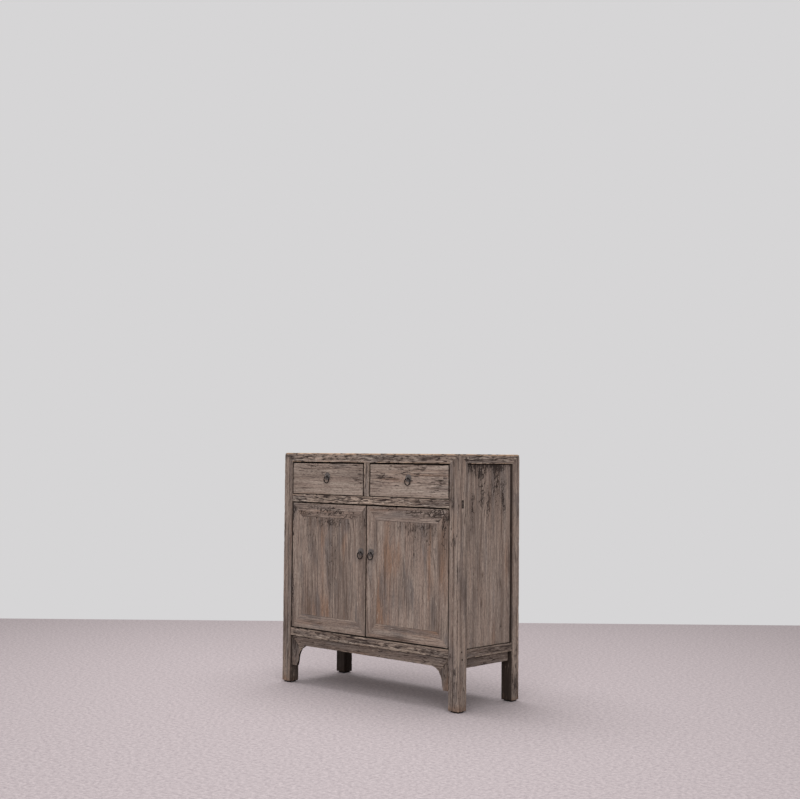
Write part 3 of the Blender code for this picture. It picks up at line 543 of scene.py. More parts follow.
@dataclass(frozen=True)
class FeltPad(Surface):
    """Pressed black felt under the feet: matt, with a grey nap and dust."""

    felt: str = "#1c1918"
    dust: str = "#4a4341"
    nap: Pattern = Pattern(1.2, 1.2, 0.45, 0.75, 0.5, detail=4)
    roughness: tuple[float, float] = (0.95, 0.85)
    bump: tuple[float, float] = (0.6, 0.4 * MM)

    def dress(self, tree: Tree, shader: Node) -> None:
        """Add the nodes of the nap.

        Args:
            tree: the material's tree.
            shader: the shader to feed.
        """
        nap = self.nap.draw(tree, add(tree, "ShaderNodeTexCoord").outputs["Object"])
        self.paint(tree, shader, self.felt, ((self.dust, nap),))
        self.roughen(tree, shader, nap, self.roughness, nap, self.bump)


@dataclass(frozen=True)
class StudioFloor(Surface):
    """Pale grey carpet-like floor, matt and very slightly mottled."""

    pale: str = "#cbc0c2"
    dull: str = "#978d91"
    mottle: Pattern = Pattern(13, 13, 0.28, 0.72, detail=8, rough=0.85)
    roughness: float = 0.95
    gloss: float = 0.1

    def dress(self, tree: Tree, shader: Node) -> None:
        """Add the nodes of the mottle.

        Args:
            tree: the material's tree.
            shader: the shader to feed.
        """
        mottle = self.mottle.draw(tree, add(tree, "ShaderNodeTexCoord").outputs["Object"])
        self.paint(tree, shader, self.pale, ((self.dull, mottle),))
        shader.inputs["Roughness"].default_value = self.roughness
        shader.inputs["Specular IOR Level"].default_value = self.gloss


@dataclass(frozen=True)
class Finish:
    """A material together with the record's slot that it stands for."""

    material: bpy.types.Material
    slot: str


class Finishes:
    """All finishes of the sideboard."""

    def __init__(self) -> None:
        """Build each material once."""
        boards = {"ground": "#a08c80", "pale": "#bdada0",
                  "glow": Pattern(420, 40, 0.52, 0.74, 0.95, detail=4, lift=0.4),
                  "wash": Pattern(200, 44, 0.49, 0.70, 0.72, detail=4, lift=0.18),
                  "broad": Pattern(420, 85, 0.47, 0.70, 0.52, detail=2, lift=0.15),
                  "shade": Pattern(240, 20, 0.52, 0.76, 0.3, detail=4, lift=0.06),
                  "streak": Pattern(150, 5, 0.53, 0.68, 0.48, detail=4, lift=0.1),
                  "vein": Pattern(160, 1.7, 0.60, 0.68, 0.8, detail=2),
                  "dash": Pattern(24, 4.4, 0.69, 0.73, 0.9, detail=4, rough=0.6, lift=0.27),
                  "cross": Pattern(9, 13, 0.70, 0.80, 0.7, detail=5, rough=0.65, lift=0.34),
                  "cracks": Alligatoring(along=18, width=0.17, soft=0.05, strength=0.85,
                                         shown=Pattern(24, 12, 0.66, 0.92, detail=4, rough=0.6, lift=0.55))}
        quiet = {**boards, "ground": "#9b887c", "pale": "#b9a99d",
                 "glow": Pattern(420, 40, 0.54, 0.78, 0.85, detail=4, lift=0.4),
                 "wash": Pattern(260, 30, 0.50, 0.74, 0.6, detail=4, lift=0.15),
                 "broad": Pattern(420, 85, 0.47, 0.72, 0.4, detail=2, lift=0.1)}
        cracked = {**boards, "pale": "#bbada2",
                   "wash": Pattern(200, 44, 0.49, 0.74, 0.55, detail=4, lift=0.08),
                   "broad": Pattern(420, 85, 0.47, 0.72, 0.4, detail=2, lift=0.04),
                   "cracks": Alligatoring(along=18, across=12, width=0.17, soft=0.05, strength=0.9,
                                          shown=Pattern(30, 16, 0.62, 0.88, detail=4, rough=0.6, lift=0.55)),
                   "dash": Pattern(24, 4.4, 0.69, 0.73, 0.9, detail=4, rough=0.6, lift=0.2)}
        drawers = {"ground": "#a89589", "pale": "#c5b7aa",
                   "wash": Pattern(200, 44, 0.52, 0.78, 0.5, detail=4, lift=0.1),
                   "broad": Pattern(420, 85, 0.5, 0.75, 0.4, detail=2),
                   "dash": Pattern(34, 4.6, 0.645, 0.685, 0.9, detail=5, lift=0.24)}
        rails = {"ground": "#b8a191", "pale": "#d8c6b5",
                 "dash": Pattern(30, 4.6, 0.61, 0.65, 0.95, detail=5, lift=0.2),
                 "fleck": Pattern(40, 5, 0.56, 0.63, 0.6, detail=4)}
        upper = {**rails, "ground": "#c2ab9b", "deep": "#635650", "bare": "#c2a081"}
        # A darker copy of the elm for the low rails and the aprons: partly their own tone, partly painted
        # shade low under the cabinet
        low = {"ground": "#85746a", "pale": "#a59589", "deep": "#4c413b",
               "dash": Pattern(30, 4.8, 0.63, 0.68, 0.9, detail=5, lift=0.2)}
        unfinished = {"ground": "#84705c", "pale": "#a08b72", "deep": "#66533f", "warm": "#93704f",
                      "cool": "#7d6f61", "flake": "#4d4034",
                      "remnant": Pattern(42, 9, 0.74, 0.86, 0.6, detail=6, lift=0.2)}
        black = {"skin": "#0d0807", "rubbed": "#1f1714", "rust": "#2a1710", "metallic": 0.0}
        grey = {"skin": "#655f5d", "rubbed": "#837c79", "metallic": 0.1}
        self.frame = Finish(WeatheredElm("weathered elm, frame").make(), "frame_elm")
        self.panel = Finish(WeatheredElm("weathered elm, panels", **boards).make(), "panel_elm")
        self.stile = Finish(WeatheredElm("weathered elm, door frames", **boards).make(), "frame_elm")
        self.side = Finish(WeatheredElm("weathered elm, side panels", **quiet).make(), "panel_elm")
        self.drawer = Finish(WeatheredElm("weathered elm, drawer fronts", **drawers).make(), "panel_elm")
        self.rail = Finish(WeatheredElm("weathered elm, rails", **rails).make(), "frame_elm")
        self.door_rail = Finish(WeatheredElm("weathered elm, door rails", **cracked).make(), "frame_elm")
        self.top = Finish(WeatheredElm("weathered elm, top frame", **upper).make(), "frame_elm")
        self.low_rail = Finish(WeatheredElm("weathered elm, low rails", **low).make(), "frame_elm")
        self.apron = Finish(WeatheredElm("weathered elm, apron", **low).make(), "apron_elm")
        self.inner = Finish(WeatheredElm("unfinished inner elm", **unfinished).make(), "inner_wood")
        self.ring = Finish(ForgedIron("forged iron, black rings", **black).make(), "old_iron")
        self.plate = Finish(ForgedIron("forged iron, rubbed plates", **grey).make(), "old_iron")
        self.pad = Finish(FeltPad("pressed felt pad").make(), "pad_rubber")


@dataclass(frozen=True)
class Span:
    """A run along one axis, from the shown side to the hidden one."""

    axis: Axis
    start: float
    stop: float

    @property
    def length(self) -> float:
        """Length of the run."""
        return abs(self.stop - self.start)

    def at(self, distance: np.ndarray) -> np.ndarray:
        """World coordinates at distances from the start."""
        return self.start + math.copysign(1, self.stop - self.start) * distance


def inward_span(axis: Axis, node: str, way: int) -> Span:
    """Run through a node, which starts on the side that faces the given way along the axis."""
    low, high = (corner[axis.value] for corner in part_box(node))
    return Span(axis, high, low) if way > 0 else Span(axis, low, high)


@dataclass(frozen=True)
class Stain:
    """A soft mark on the wood: its place, its reach along each axis, its strength and its kind."""

    at: tuple[float, float, float]
    reach: tuple[float, float, float]
    strength: float
    kind: Mark = Mark.DARK

    def level(self, points: np.ndarray) -> np.ndarray:
        """Strength of the mark at points."""
        away = (points - np.array(self.at)) / np.array(self.reach)
        return self.strength * np.exp(-(away ** 2).sum(axis=1))


@dataclass(frozen=True)
class Quirk:
    """A narrow groove along a face: its place as a share of the width, its size and how dark it is."""

    place: float
    half: float = 1 * MM
    depth: float = 1.2 * MM
    dark: float = 1.0


@dataclass(frozen=True)
class Face:
    """How one long face of a stick is planed and kept: its soil, and that of its arrises where more.

    A ridged face has a rounded ridge along each edge and a sunk channel between them, each ridge taking
    a share of the width. A rebate runs along the last edge.
    """

    ridge: float = 0.0
    sink: float = 0.0
    # soil is dirt on most faces and painted shade on faces in gaps and under the cabinet; rim is how black the
    # arrises go, painted shade where the face lies in a gap
    soil: float = 0.0
    rim: float = 0.0
    step: float = 30 * MM
    rebate: tuple[float, float] = (0.0, 0.0)
    quirks: tuple[Quirk, ...] = ()

    def lines(self, length: float, first: float, last: float,
              rubs: tuple[float, float]) -> list[tuple[float, ...]]:
        """Lines along the face.

        Args:
            length: width of the face.
            first: rounding at its first edge.
            last: rounding at its last edge.
            rubs: how rubbed the two edges are.

        Returns:
            Place across the face, depth below it, edge mark and groove mark of each line.
        """
        if self.ridge:
            ridge = self.ridge * length
            half = [(share * ridge, *rest) for share, *rest in RIDGE_LINES]
            half[0] = (first, *half[0][1:])
            inner = half[-1][0]
            rise = [(s, d * self.sink, e * rubs[0], g) for s, d, e, g in half]
            fall = [(length - s, d * self.sink, e * rubs[1], g) for s, d, e, g in reversed(half)]
            fall[-1] = (length - last, *fall[-1][1:])
        else:
            inner = min(first + ARRIS_BAND, length * BAND_LIMITS[0])
            rise = [(first, 0.0, rubs[0], self.soil), (inner, 0.0, 0.0, self.soil)]
            wide, deep = self.rebate
            # A rebate is laid near-black, as painted shade in its recess
            if wide:
                fall = [(length - wide - LINE_CLEAR, 0.0, 0.0, 0.0), (length - wide, deep, 0.0, 1.0),
                        (length - last, deep, 0.0, 1.0)]
            else:
                far = max(length - last - ARRIS_BAND, length * BAND_LIMITS[1])
                fall = [(far, 0.0, 0.0, self.soil), (length - last, 0.0, rubs[1], self.soil)]
        rows = rise + fall
        span = fall[0][0] - inner
        count = max(1, round(span / self.step))
        soil = CHANNEL_SOIL if self.ridge else self.soil
        for i in range(1, count):
            share = i / count
            crown = 4 * share * (1 - share)
            rows.append((inner + span * share, self.sink * (1 - CHANNEL_CROWN * crown), 0.0, soil))
        for quirk in self.quirks:
            place = quirk.place * length
            rows = [row for row in rows if abs(row[0] - place) > quirk.half + LINE_CLEAR]
            rows += [(place + share * quirk.half, deep * quirk.depth, QUIRK_RUB * (1 - deep),
                      deep * quirk.dark) for share, deep in QUIRK_LINES]
        return sorted(rows)


@dataclass(frozen=True)
class End:
    """End of a stick: how it is cut, how far a point reaches past the shoulder, how worn its rim is,
    how dark the line of its joint is and how far a gap keeps it dark.
    """

    cut: EndCut = EndCut.SQUARE
    reach: float = 0.0
    worn: float = 0.0
    joint: float = 0.4
    gap: float = 0.0

    def past(self, across: np.ndarray, deep: np.ndarray, width: float, depth: float) -> np.ndarray:
        """How far the end reaches past its shoulder.

        Args:
            across: distances from the shown edge.
            deep: distances from the shown face.
            width: width of the stick.
            depth: depth of the stick.

        Returns:
            Lengths past the shoulder, negative where the end is cut back.
        """
        if self.cut is EndCut.MITRE:
            return -across
        if self.cut is EndCut.CORNER:
            return self.reach * np.minimum(1 - across / width, 1 - deep / depth)
        return np.zeros_like(across)


@dataclass
class Body:
    """Points, faces and marks of a mesh that is being made."""

    points: np.ndarray
    faces: list[tuple[int, ...]]
    edge: np.ndarray
    groove: np.ndarray

    def soften(self, corner: Vector, radius: float) -> "Body":
        """Round off an outer corner of the cabinet where it reaches into this body.

        Args:
            corner: the sharp corner, with the cabinet's middle above the origin.
            radius: how far the rounding reaches.

        Returns:
            This body.
        """
        ways = np.array([math.copysign(1, corner.x), math.copysign(1, corner.y), 1.0])
        near = np.clip(1 - (np.array(corner) - self.points) * ways / radius, 0, 1)
        far = np.linalg.norm(near, axis=1)
        least = near.min(axis=1)
        weight = least * least * (3 - 2 * least)
        scale = np.where(far > 1, 1 - weight * (1 - 1 / np.maximum(far, 1)), 1.0)
        inside = least > 0
        moved = np.array(corner) - ways * radius * (1 - near * scale[:, None])
        self.points[inside] = moved[inside]
        return self

    def join(self, other: "Body") -> "Body":
        """Put another body beside this one in one mesh.

        Args:
            other: the body to take in.

        Returns:
            The two bodies together.
        """
        shift = len(self.points)
        moved = [tuple(i + shift for i in f) for f in other.faces]
        return Body(np.vstack([self.points, other.points]), self.faces + moved,
                    np.concatenate([self.edge, other.edge]), np.concatenate([self.groove, other.groove]))


PLAIN = Face()
BOARD = Face(step=BOARD_STEP)
# Edge faces in the gaps round doors, drawers and rails, and under the top rails: painted shade, with black
# arrises that widen the gap lines
PAINTED_GAP_SHADE = Face(soil=0.8, rim=1.0)
# Inner faces of the front posts: painted shade beside the doors and under the cabinet
PAINTED_SHADE_BROWN = Face(soil=0.78)
# Inner faces of the back posts: black painted shade under the cabinet
PAINTED_SHADE_BLACK = Face(soil=0.96)
# Front faces of the back posts: dark painted shade under the cabinet
PAINTED_SHADE_DARK = Face(soil=0.86, step=BEAD_STEP)
# Back faces of the front posts and lower edges of the drawer fronts: painted shade; also the dark end of the
# through tenon
PAINTED_SHADE_AND_DARK_END = Face(soil=0.91)
BROAD_RIDGES = Face(ridge=0.40, sink=1.3 * MM, step=BEAD_STEP)
RAIL_RIDGES = Face(ridge=0.27, sink=1.3 * MM, step=BEAD_STEP)
POST_FRONT = Face(step=POST_STEP, quirks=(
    Quirk(0.17, 1.6 * MM, dark=0.62), Quirk(0.6, 1.9 * MM, 1.4 * MM, dark=0.74)))
POST_SIDE = Face(step=POST_STEP, quirks=(Quirk(0.13, 1.5 * MM, dark=0.78), Quirk(0.72, 1.5 * MM, dark=0.7)))


def tube_faces(rings: int, size: int) -> list[tuple[int, ...]]:
    """Faces between closed rings of points.

    Args:
        rings: how many rings follow each other.
        size: points in each ring.

    Returns:
        The corners of each face.
    """
    turn = [(i, (i + 1) % size) for i in range(size)]
    return [(k * size + i, k * size + j, (k + 1) * size + j, (k + 1) * size + i)
            for k in range(rings - 1) for i, j in turn]


@dataclass
class Stick:
    """A straight piece of timber: a planed section swept along the grain between two cut ends.

    The faces go round from the shown one: shown, far edge, hidden, near edge. The roundings are those
    of the arrises at the near edge of the shown face, its far edge, and the two behind them, and the
    rubs say how rubbed each of these is.
    """

    run: Span
    across: Span
    depth: Span
    faces: tuple[Face, Face, Face, Face] = (BOARD, PLAIN, PLAIN, PLAIN)
    rounds: tuple[float, float, float, float] = (1.5 * MM, 1.5 * MM, 1 * MM, 1 * MM)
    rubs: tuple[float, float, float, float] = (1.0, 1.0, 0.0, 0.0)
    ends: tuple[End, End] = (End(), End())

    def section(self) -> np.ndarray:
        """Closed outline of the section.

        Returns:
            One row for each line along the stick: across, deep, edge mark, groove mark.
        """
        width, depth = self.across.length, self.depth.length
        inward = [np.array(n, float) for n in ((0, 1), (-1, 0), (0, -1), (1, 0))]
        corners = [np.array(c, float) for c in ((0, 0), (width, 0), (width, depth), (0, depth))]
        rows: list[tuple[float, float, float, float]] = []
        for i, face in enumerate(self.faces):
            follow = (i + 1) % 4
            way = corners[follow] - corners[i]
            length = float(np.linalg.norm(way))
            rubs = (self.rubs[i], self.rubs[follow])
            for s, sink, edge, groove in face.lines(length, self.rounds[i], self.rounds[follow], rubs):
                spot = corners[i] + way / length * s + inward[i] * sink
                rows.append((*spot, edge, groove))
            radius = self.rounds[follow]
            centre = corners[follow] + (inward[i] + inward[follow]) * radius
            for k in range(1, ARC_STEPS):
                turn = math.pi / 2 * k / ARC_STEPS
                spot = centre - (inward[i] * math.cos(turn) + inward[follow] * math.sin(turn)) * radius
                soil = max(face.soil, face.rim, self.faces[follow].soil, self.faces[follow].rim)
                rows.append((*spot, self.rubs[follow], soil))
        return np.array(rows)

    def rings(self) -> list[tuple[float, float, float, float]]:
        """Sections along the stick.

        Returns:
            For each ring its share of the length, its step inward, its edge mark and its joint mark.
        """
        length = self.run.length
        count = max(2, round(length / RING_STEP))
        line = min(JOINT_LINE / length, JOINT_SHARE / count)
        middle = [(i / count, 0.0, 0.0, 0.0) for i in range(1, count)]
        found = []
        for end, far in zip(self.ends, (False, True)):
            if end.worn:
                worn = [(0.0, end.worn, LIP_RUBS[0], end.joint),
                        (LIP[0] * end.worn / length, LIP[1] * end.worn, LIP_RUBS[1], end.joint),
                        ((end.worn + end.gap) / length, 0.0, LIP_RUBS[0], end.joint if end.gap else 0.0),
                        ((end.worn + end.gap + ARRIS_BAND) / length, 0.0, 0.0, 0.0)]
            elif end.gap:
                worn = [(0.0, 0.0, 0.0, end.joint), (end.gap / length, 0.0, 0.0, end.joint),
                        (end.gap / length + line, 0.0, 0.0, 0.0)]
            else:
                worn = [(0.0, 0.0, 0.0, end.joint), (line, 0.0, 0.0, 0.0)]
            found.append([(1 - t, *rest) for t, *rest in reversed(worn)] if far else worn)
        return found[0] + middle + found[1]

    def make(self) -> Body:
        """Sweep the section.

        Returns:
            The closed body of the stick.
        """
        loop = self.section()
        width, depth = self.across.length, self.depth.length
        rings = self.rings()
        points, edges, grooves = [], [], []
        for share, inset, edge, joint in rings:
            across = np.clip(loop[:, 0], inset, width - inset)
            deep = np.clip(loop[:, 1], inset, depth - inset)
            low = -self.ends[0].past(across, deep, width, depth)
            high = self.run.length + self.ends[1].past(across, deep, width, depth)
            spots = np.zeros((len(loop), 3))
            spots[:, self.run.axis.value] = self.run.at(low + share * (high - low))
            spots[:, self.across.axis.value] = self.across.at(across)
            spots[:, self.depth.axis.value] = self.depth.at(deep)
            points.append(spots)
            edges.append(np.maximum(loop[:, 2], edge))
            grooves.append(np.maximum(loop[:, 3], joint))
        size = len(loop)
        first = len(rings) * size
        faces = tube_faces(len(rings), size)
        for hub, base in ((first, 0), (first + 1, first - size)):
            faces.extend((base + i, base + (i + 1) % size, hub) for i in range(size))
        hubs = [points[0].mean(axis=0), points[-1].mean(axis=0)]
        return Body(np.vstack(points + hubs), faces, np.concatenate([*edges, [0.0, 0.0]]),
                    np.concatenate([*grooves, [END_SOIL, END_SOIL]]))


def turned_pin(radius: float, centre: Vector, low: float, high: float) -> Body:
    """Turn an upright pin with eased ends.

    Args:
        radius: its radius.
        centre: a point on its axis.
        low: its lowest height.
        high: its highest height.

    Returns:
        The closed body.
    """
    ease, flat = PIN_EASE * radius, PIN_FLAT * radius
    rows = [(flat, low), (radius - ease, low), (radius, low + ease), (radius, high - ease),
            (radius - ease, high), (flat, high)]
    turns = [math.tau * i / PIN_STEPS for i in range(PIN_STEPS)]
    points = [(centre.x + r * math.cos(t), centre.y + r * math.sin(t), z) for r, z in rows for t in turns]
    count = len(points)
    caps = [tuple(range(PIN_STEPS)), tuple(range(count - PIN_STEPS, count))]
    edge, groove = (np.full(count, mark) for mark in PIN_MARKS)
    return Body(np.array(points), caps + tube_faces(len(rows), PIN_STEPS), edge, groove)


def eased_copy(node: str, radius: float, bite: float = 0.0) -> Body:
    """Copy a CAD solid with its sharp edges eased.

    Args:
        node: the CAD node.
        radius: how far the edges are rounded.
        bite: spacing of the cuts that let wear bite into long edges, or 0 for none.

    Returns:
        The closed body.
    """
    work = bmesh.new()
    work.from_mesh(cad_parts[node].data)
    bmesh.ops.remove_doubles(work, verts=work.verts[:], dist=CAD_MERGE)
    bmesh.ops.dissolve_limit(work, angle_limit=FLAT_ANGLE, verts=work.verts[:], edges=work.edges[:])
    for edge in list(work.edges) if bite else []:
        cuts = int(edge.calc_length() / bite) - 1
        if cuts > 0:
            bmesh.ops.subdivide_edges(work, edges=[edge], cuts=cuts)
    sharp = [e for e in work.edges if e.is_manifold and e.is_convex and e.calc_face_angle() > SHARP_ANGLE]
    done = bmesh.ops.bevel(work, geom=sharp, offset=radius, segments=2, profile=0.5, affect="EDGES",
                           clamp_overlap=True)
    rim = {v for f in done["faces"] for v in f.verts}
    wide = [f for f in work.faces if f.calc_area() > (WIDE_FACE * radius) ** 2]
    bmesh.ops.inset_individual(work, faces=wide, thickness=RIM_BAND * radius)
    bmesh.ops.remove_doubles(work, verts=work.verts[:], dist=BEVEL_MERGE)
    work.verts.ensure_lookup_table()
    work.verts.index_update()
    points = np.array([v.co for v in work.verts])
    faces = [tuple(v.index for v in f.verts) for f in work.faces]
    edge = np.array([1.0 if v in rim else 0.0 for v in work.verts])
    work.free()
    return Body(points, faces, edge, np.zeros(len(points)))


class NodeTool:
    """A Geometry Nodes tree with named inputs, run on a mesh and turned into a plain mesh again."""

    def __init__(self, name: str, inputs: dict[str, Input]) -> None:
        """Open the tree.

        Args:
            name: name of the tree.
            inputs: name and kind of each input between the geometry and the material.
        """
        self.tree = bpy.data.node_groups.new(name, "GeometryNodeTree")
        face = self.tree.interface
        face.new_socket("Geometry", in_out="OUTPUT", socket_type="NodeSocketGeometry")
        face.new_socket("Geometry", in_out="INPUT", socket_type="NodeSocketGeometry")
        self.keys: dict[str, str] = {}
        for label, kind in {**inputs, "Material": Input.MATERIAL}.items():
            self.keys[label] = face.new_socket(label, in_out="INPUT", socket_type=kind.value).identifier
        self.entry = add(self.tree, "NodeGroupInput")

    def noise(self, place: Socket, size: Socket, detail: float) -> Socket:
        """Noise that follows the tree's seed.

        Args:
            place: coordinates in metres.
            size: how large its forms are, along all axes alike or along each.
            detail: how much finer noise it holds.

        Returns:
            Its level, from 0 to 1.
        """
        scaled = add(self.tree, "ShaderNodeVectorMath", {0: place, 1: size}, operation="DIVIDE")
        noise = add(self.tree, "ShaderNodeTexNoise", {
            "Vector": scaled.outputs[0], "W": self.entry.outputs["Seed"], "Scale": 1.0, "Detail": detail},
            noise_dimensions="4D")
        return noise.outputs[0]

    def sunk(self, geometry: Socket, depth: Socket) -> Socket:
        """Move the points of a mesh inwards along their normals.

        Args:
            geometry: the mesh.
            depth: how far each point goes in.

        Returns:
            The moved mesh.
        """
        inward = add(self.tree, "ShaderNodeMath", {0: depth, 1: -1.0}, operation="MULTIPLY")
        normal = add(self.tree, "GeometryNodeInputNormal")
        offset = add(self.tree, "ShaderNodeVectorMath", {0: normal.outputs[0], "Scale": inward.outputs[0]},
                     operation="SCALE")
        moved = add(self.tree, "GeometryNodeSetPosition", {"Geometry": geometry, "Offset": offset.outputs[0]})
        return moved.outputs[0]

    def close(self, geometry: Socket) -> None:
        """End the tree with realised instances and the material.

        Args:
            geometry: what the tree has made.
        """
        real = add(self.tree, "GeometryNodeRealizeInstances", {"Geometry": geometry})
        dressed = add(self.tree, "GeometryNodeSetMaterial", {
            "Geometry": real.outputs[0], "Material": self.entry.outputs["Material"]})
        add(self.tree, "NodeGroupOutput", {"Geometry": dressed.outputs[0]})

    def run(self, mesh: bpy.types.Mesh, values: dict[str, Any]) -> bpy.types.Mesh:
        """Run the tree on a mesh.

        Args:
            mesh: the mesh to start from.
            values: a value for each named input.

        Returns:
            The finished plain mesh.
        """
        holder = bpy.data.objects.new("in work", mesh)
        bpy.context.scene.collection.objects.link(holder)
        modifier = holder.modifiers.new(self.tree.name, "NODES")
        modifier.node_group = self.tree
        for name, value in values.items():
            modifier[self.keys[name]] = value
        view = bpy.context.evaluated_depsgraph_get()
        made = bpy.data.meshes.new_from_object(holder.evaluated_get(view), preserve_all_data_layers=True,
                                               depsgraph=view)
        holder.modifiers.clear()
        bpy.data.objects.remove(holder)
        bpy.data.meshes.remove(mesh)
        return made


class Weathering(NodeTool):
    """Wears timber: shallow hollows drawn out along the grain, and dents along its arrises."""

    dent_levels = (0.45, 0.8)

    def __init__(self) -> None:
        """Build the tree."""
        super().__init__("worn timber", dict.fromkeys((
            "Hollow Depth", "Hollow Length", "Hollow Width", "Dent Depth", "Dent Size", "Seed"), Input.FLOAT))
        tree, entry = self.tree, self.entry.outputs
        grain, edge, groove = (
            add(tree, "GeometryNodeInputNamedAttribute", {"Name": name}, data_type=kind).outputs[0]
            for name, kind in ((GRAIN, "FLOAT_VECTOR"), (EDGE, "FLOAT"), (GROOVE, "FLOAT")))
        size = add(tree, "ShaderNodeCombineXYZ", {
            0: entry["Hollow Length"], 1: entry["Hollow Width"], 2: entry["Hollow Width"]})
        whole = add(tree, "ShaderNodeMath", {0: 1.0, 1: groove}, operation="SUBTRACT")
        most = add(tree, "ShaderNodeMath", {0: whole.outputs[0], 1: entry["Hollow Depth"]},
                   operation="MULTIPLY")
        hollow = add(tree, "ShaderNodeMath", {
            0: self.noise(grain, size.outputs[0], detail=3.0), 1: most.outputs[0]}, operation="MULTIPLY")
        chosen = add(tree, "ShaderNodeMapRange", {
            "Value": self.noise(grain, entry["Dent Size"], detail=2.0), "From Min": self.dent_levels[0],
            "From Max": self.dent_levels[1]}, interpolation_type="SMOOTHSTEP")
        deep = add(tree, "ShaderNodeMath", {0: chosen.outputs[0], 1: entry["Dent Depth"]},
                   operation="MULTIPLY")
        worn = add(tree, "ShaderNodeMath", {0: deep.outputs[0], 1: edge, 2: hollow.outputs[0]},
                   operation="MULTIPLY_ADD")
        self.close(self.sunk(entry["Geometry"], worn.outputs[0]))


class ForgedLoop(NodeTool):
    """Sweeps a round bar along a circle and hammers it."""

    loop_steps = 56
    bar_steps = 14

    def __init__(self) -> None:
        """Build the tree."""
        super().__init__("forged loop", {
            **dict.fromkeys(("Radius", "Bar Radius", "Hammer Depth", "Hammer Size", "Seed"), Input.FLOAT),
            **dict.fromkeys(("Centre", "Turn"), Input.VECTOR)})
        tree, entry = self.tree, self.entry.outputs
        path, bar = (
            add(tree, "GeometryNodeCurvePrimitiveCircle", {"Resolution": steps, "Radius": entry[radius]})
            for steps, radius in ((self.loop_steps, "Radius"), (self.bar_steps, "Bar Radius")))
        swept = add(tree, "GeometryNodeCurveToMesh", {
            "Curve": path.outputs[0], "Profile Curve": bar.outputs[0]})
        place = add(tree, "GeometryNodeInputPosition")
        blow = add(tree, "ShaderNodeMath", {
            0: self.noise(place.outputs[0], entry["Hammer Size"], detail=1.0), 1: entry["Hammer Depth"]},
            operation="MULTIPLY")
        beaten = self.sunk(swept.outputs[0], blow.outputs[0])
        smooth = add(tree, "GeometryNodeSetShadeSmooth", {"Geometry": beaten})
        placed = add(tree, "GeometryNodeTransform", {
            "Geometry": smooth.outputs[0], "Translation": entry["Centre"], "Rotation": entry["Turn"]})
        self.close(placed.outputs[0])


class PegHeads(NodeTool):
    """Sets the worn end of a peg into the wood at each point of a mesh."""

    taper = 0.78
    sizes = (0.98, 1.06)
    wear_rate = 400.0

    def __init__(self) -> None:
        """Build the tree."""
        super().__init__("peg heads", {
            **dict.fromkeys(("Radius", "Depth", "Wear Depth"), Input.FLOAT),
            "Turn": Input.VECTOR, "Seed": Input.WHOLE})
        tree, entry = self.tree, self.entry.outputs
        tip = add(tree, "ShaderNodeMath", {0: entry["Radius"], 1: self.taper}, operation="MULTIPLY")
        head = add(tree, "GeometryNodeMeshCone", {
            "Vertices": 13, "Side Segments": 3, "Fill Segments": 2, "Radius Top": tip.outputs[0],
            "Radius Bottom": entry["Radius"], "Depth": entry["Depth"]})
        size = add(tree, "FunctionNodeRandomValue", {
            2: self.sizes[0], 3: self.sizes[1], "Seed": entry["Seed"]}, data_type="FLOAT")
        pegs = add(tree, "GeometryNodeInstanceOnPoints", {
            "Points": entry["Geometry"], "Instance": head.outputs[0], "Rotation": entry["Turn"],
            "Scale": size.outputs[1]})
        real = add(tree, "GeometryNodeRealizeInstances", {"Geometry": pegs.outputs[0]})
        place = add(tree, "GeometryNodeInputPosition")
        noise = add(tree, "ShaderNodeTexNoise", {
            "Vector": place.outputs[0], "Scale": self.wear_rate, "Detail": 1.0})
        wear = add(tree, "ShaderNodeMath", {0: noise.outputs[0], 1: entry["Wear Depth"]},
                   operation="MULTIPLY")
        self.close(self.sunk(real.outputs[0], wear.outputs[0]))


# Planes of the front and the right side that carry placed marks, how deep marks go, and a reach without end
FRONT_PLANE = -162 * MM
SIDE_PLANE = 440 * MM
MARK_DEPTH = 60 * MM
EVERYWHERE = 10.0


def front_marks(*rows: tuple[Any, ...]) -> tuple[Stain, ...]:
    """Marks on the front: place and reach, each across and up in millimetres, strength and kind."""
    return tuple(Stain((x * MM, FRONT_PLANE, z * MM), (wide * MM, MARK_DEPTH, high * MM), *rest)
                 for x, z, wide, high, *rest in rows)


def side_marks(*rows: tuple[Any, ...]) -> tuple[Stain, ...]:
    """Marks on the right side: place and reach, each across and up in millimetres, strength and kind."""
    return tuple(Stain((SIDE_PLANE, y * MM, z * MM), (MARK_DEPTH, wide * MM, high * MM), *rest)
                 for y, z, wide, high, *rest in rows)


# Warm wear at the feet, and a slight darkening of the lower legs towards the floor that is painted shade
FOOT_WEAR_AND_SHADE = (Stain((0.0, 0.0, 0.0), (EVERYWHERE, EVERYWHERE, 22 * MM), 0.9, Mark.WARM),
             Stain((0.0, 0.0, 90 * MM), (EVERYWHERE, EVERYWHERE, 80 * MM), 0.2, Mark.WARM),
             Stain((0.0, 0.0, 90 * MM), (EVERYWHERE, EVERYWHERE, 80 * MM), 0.14))

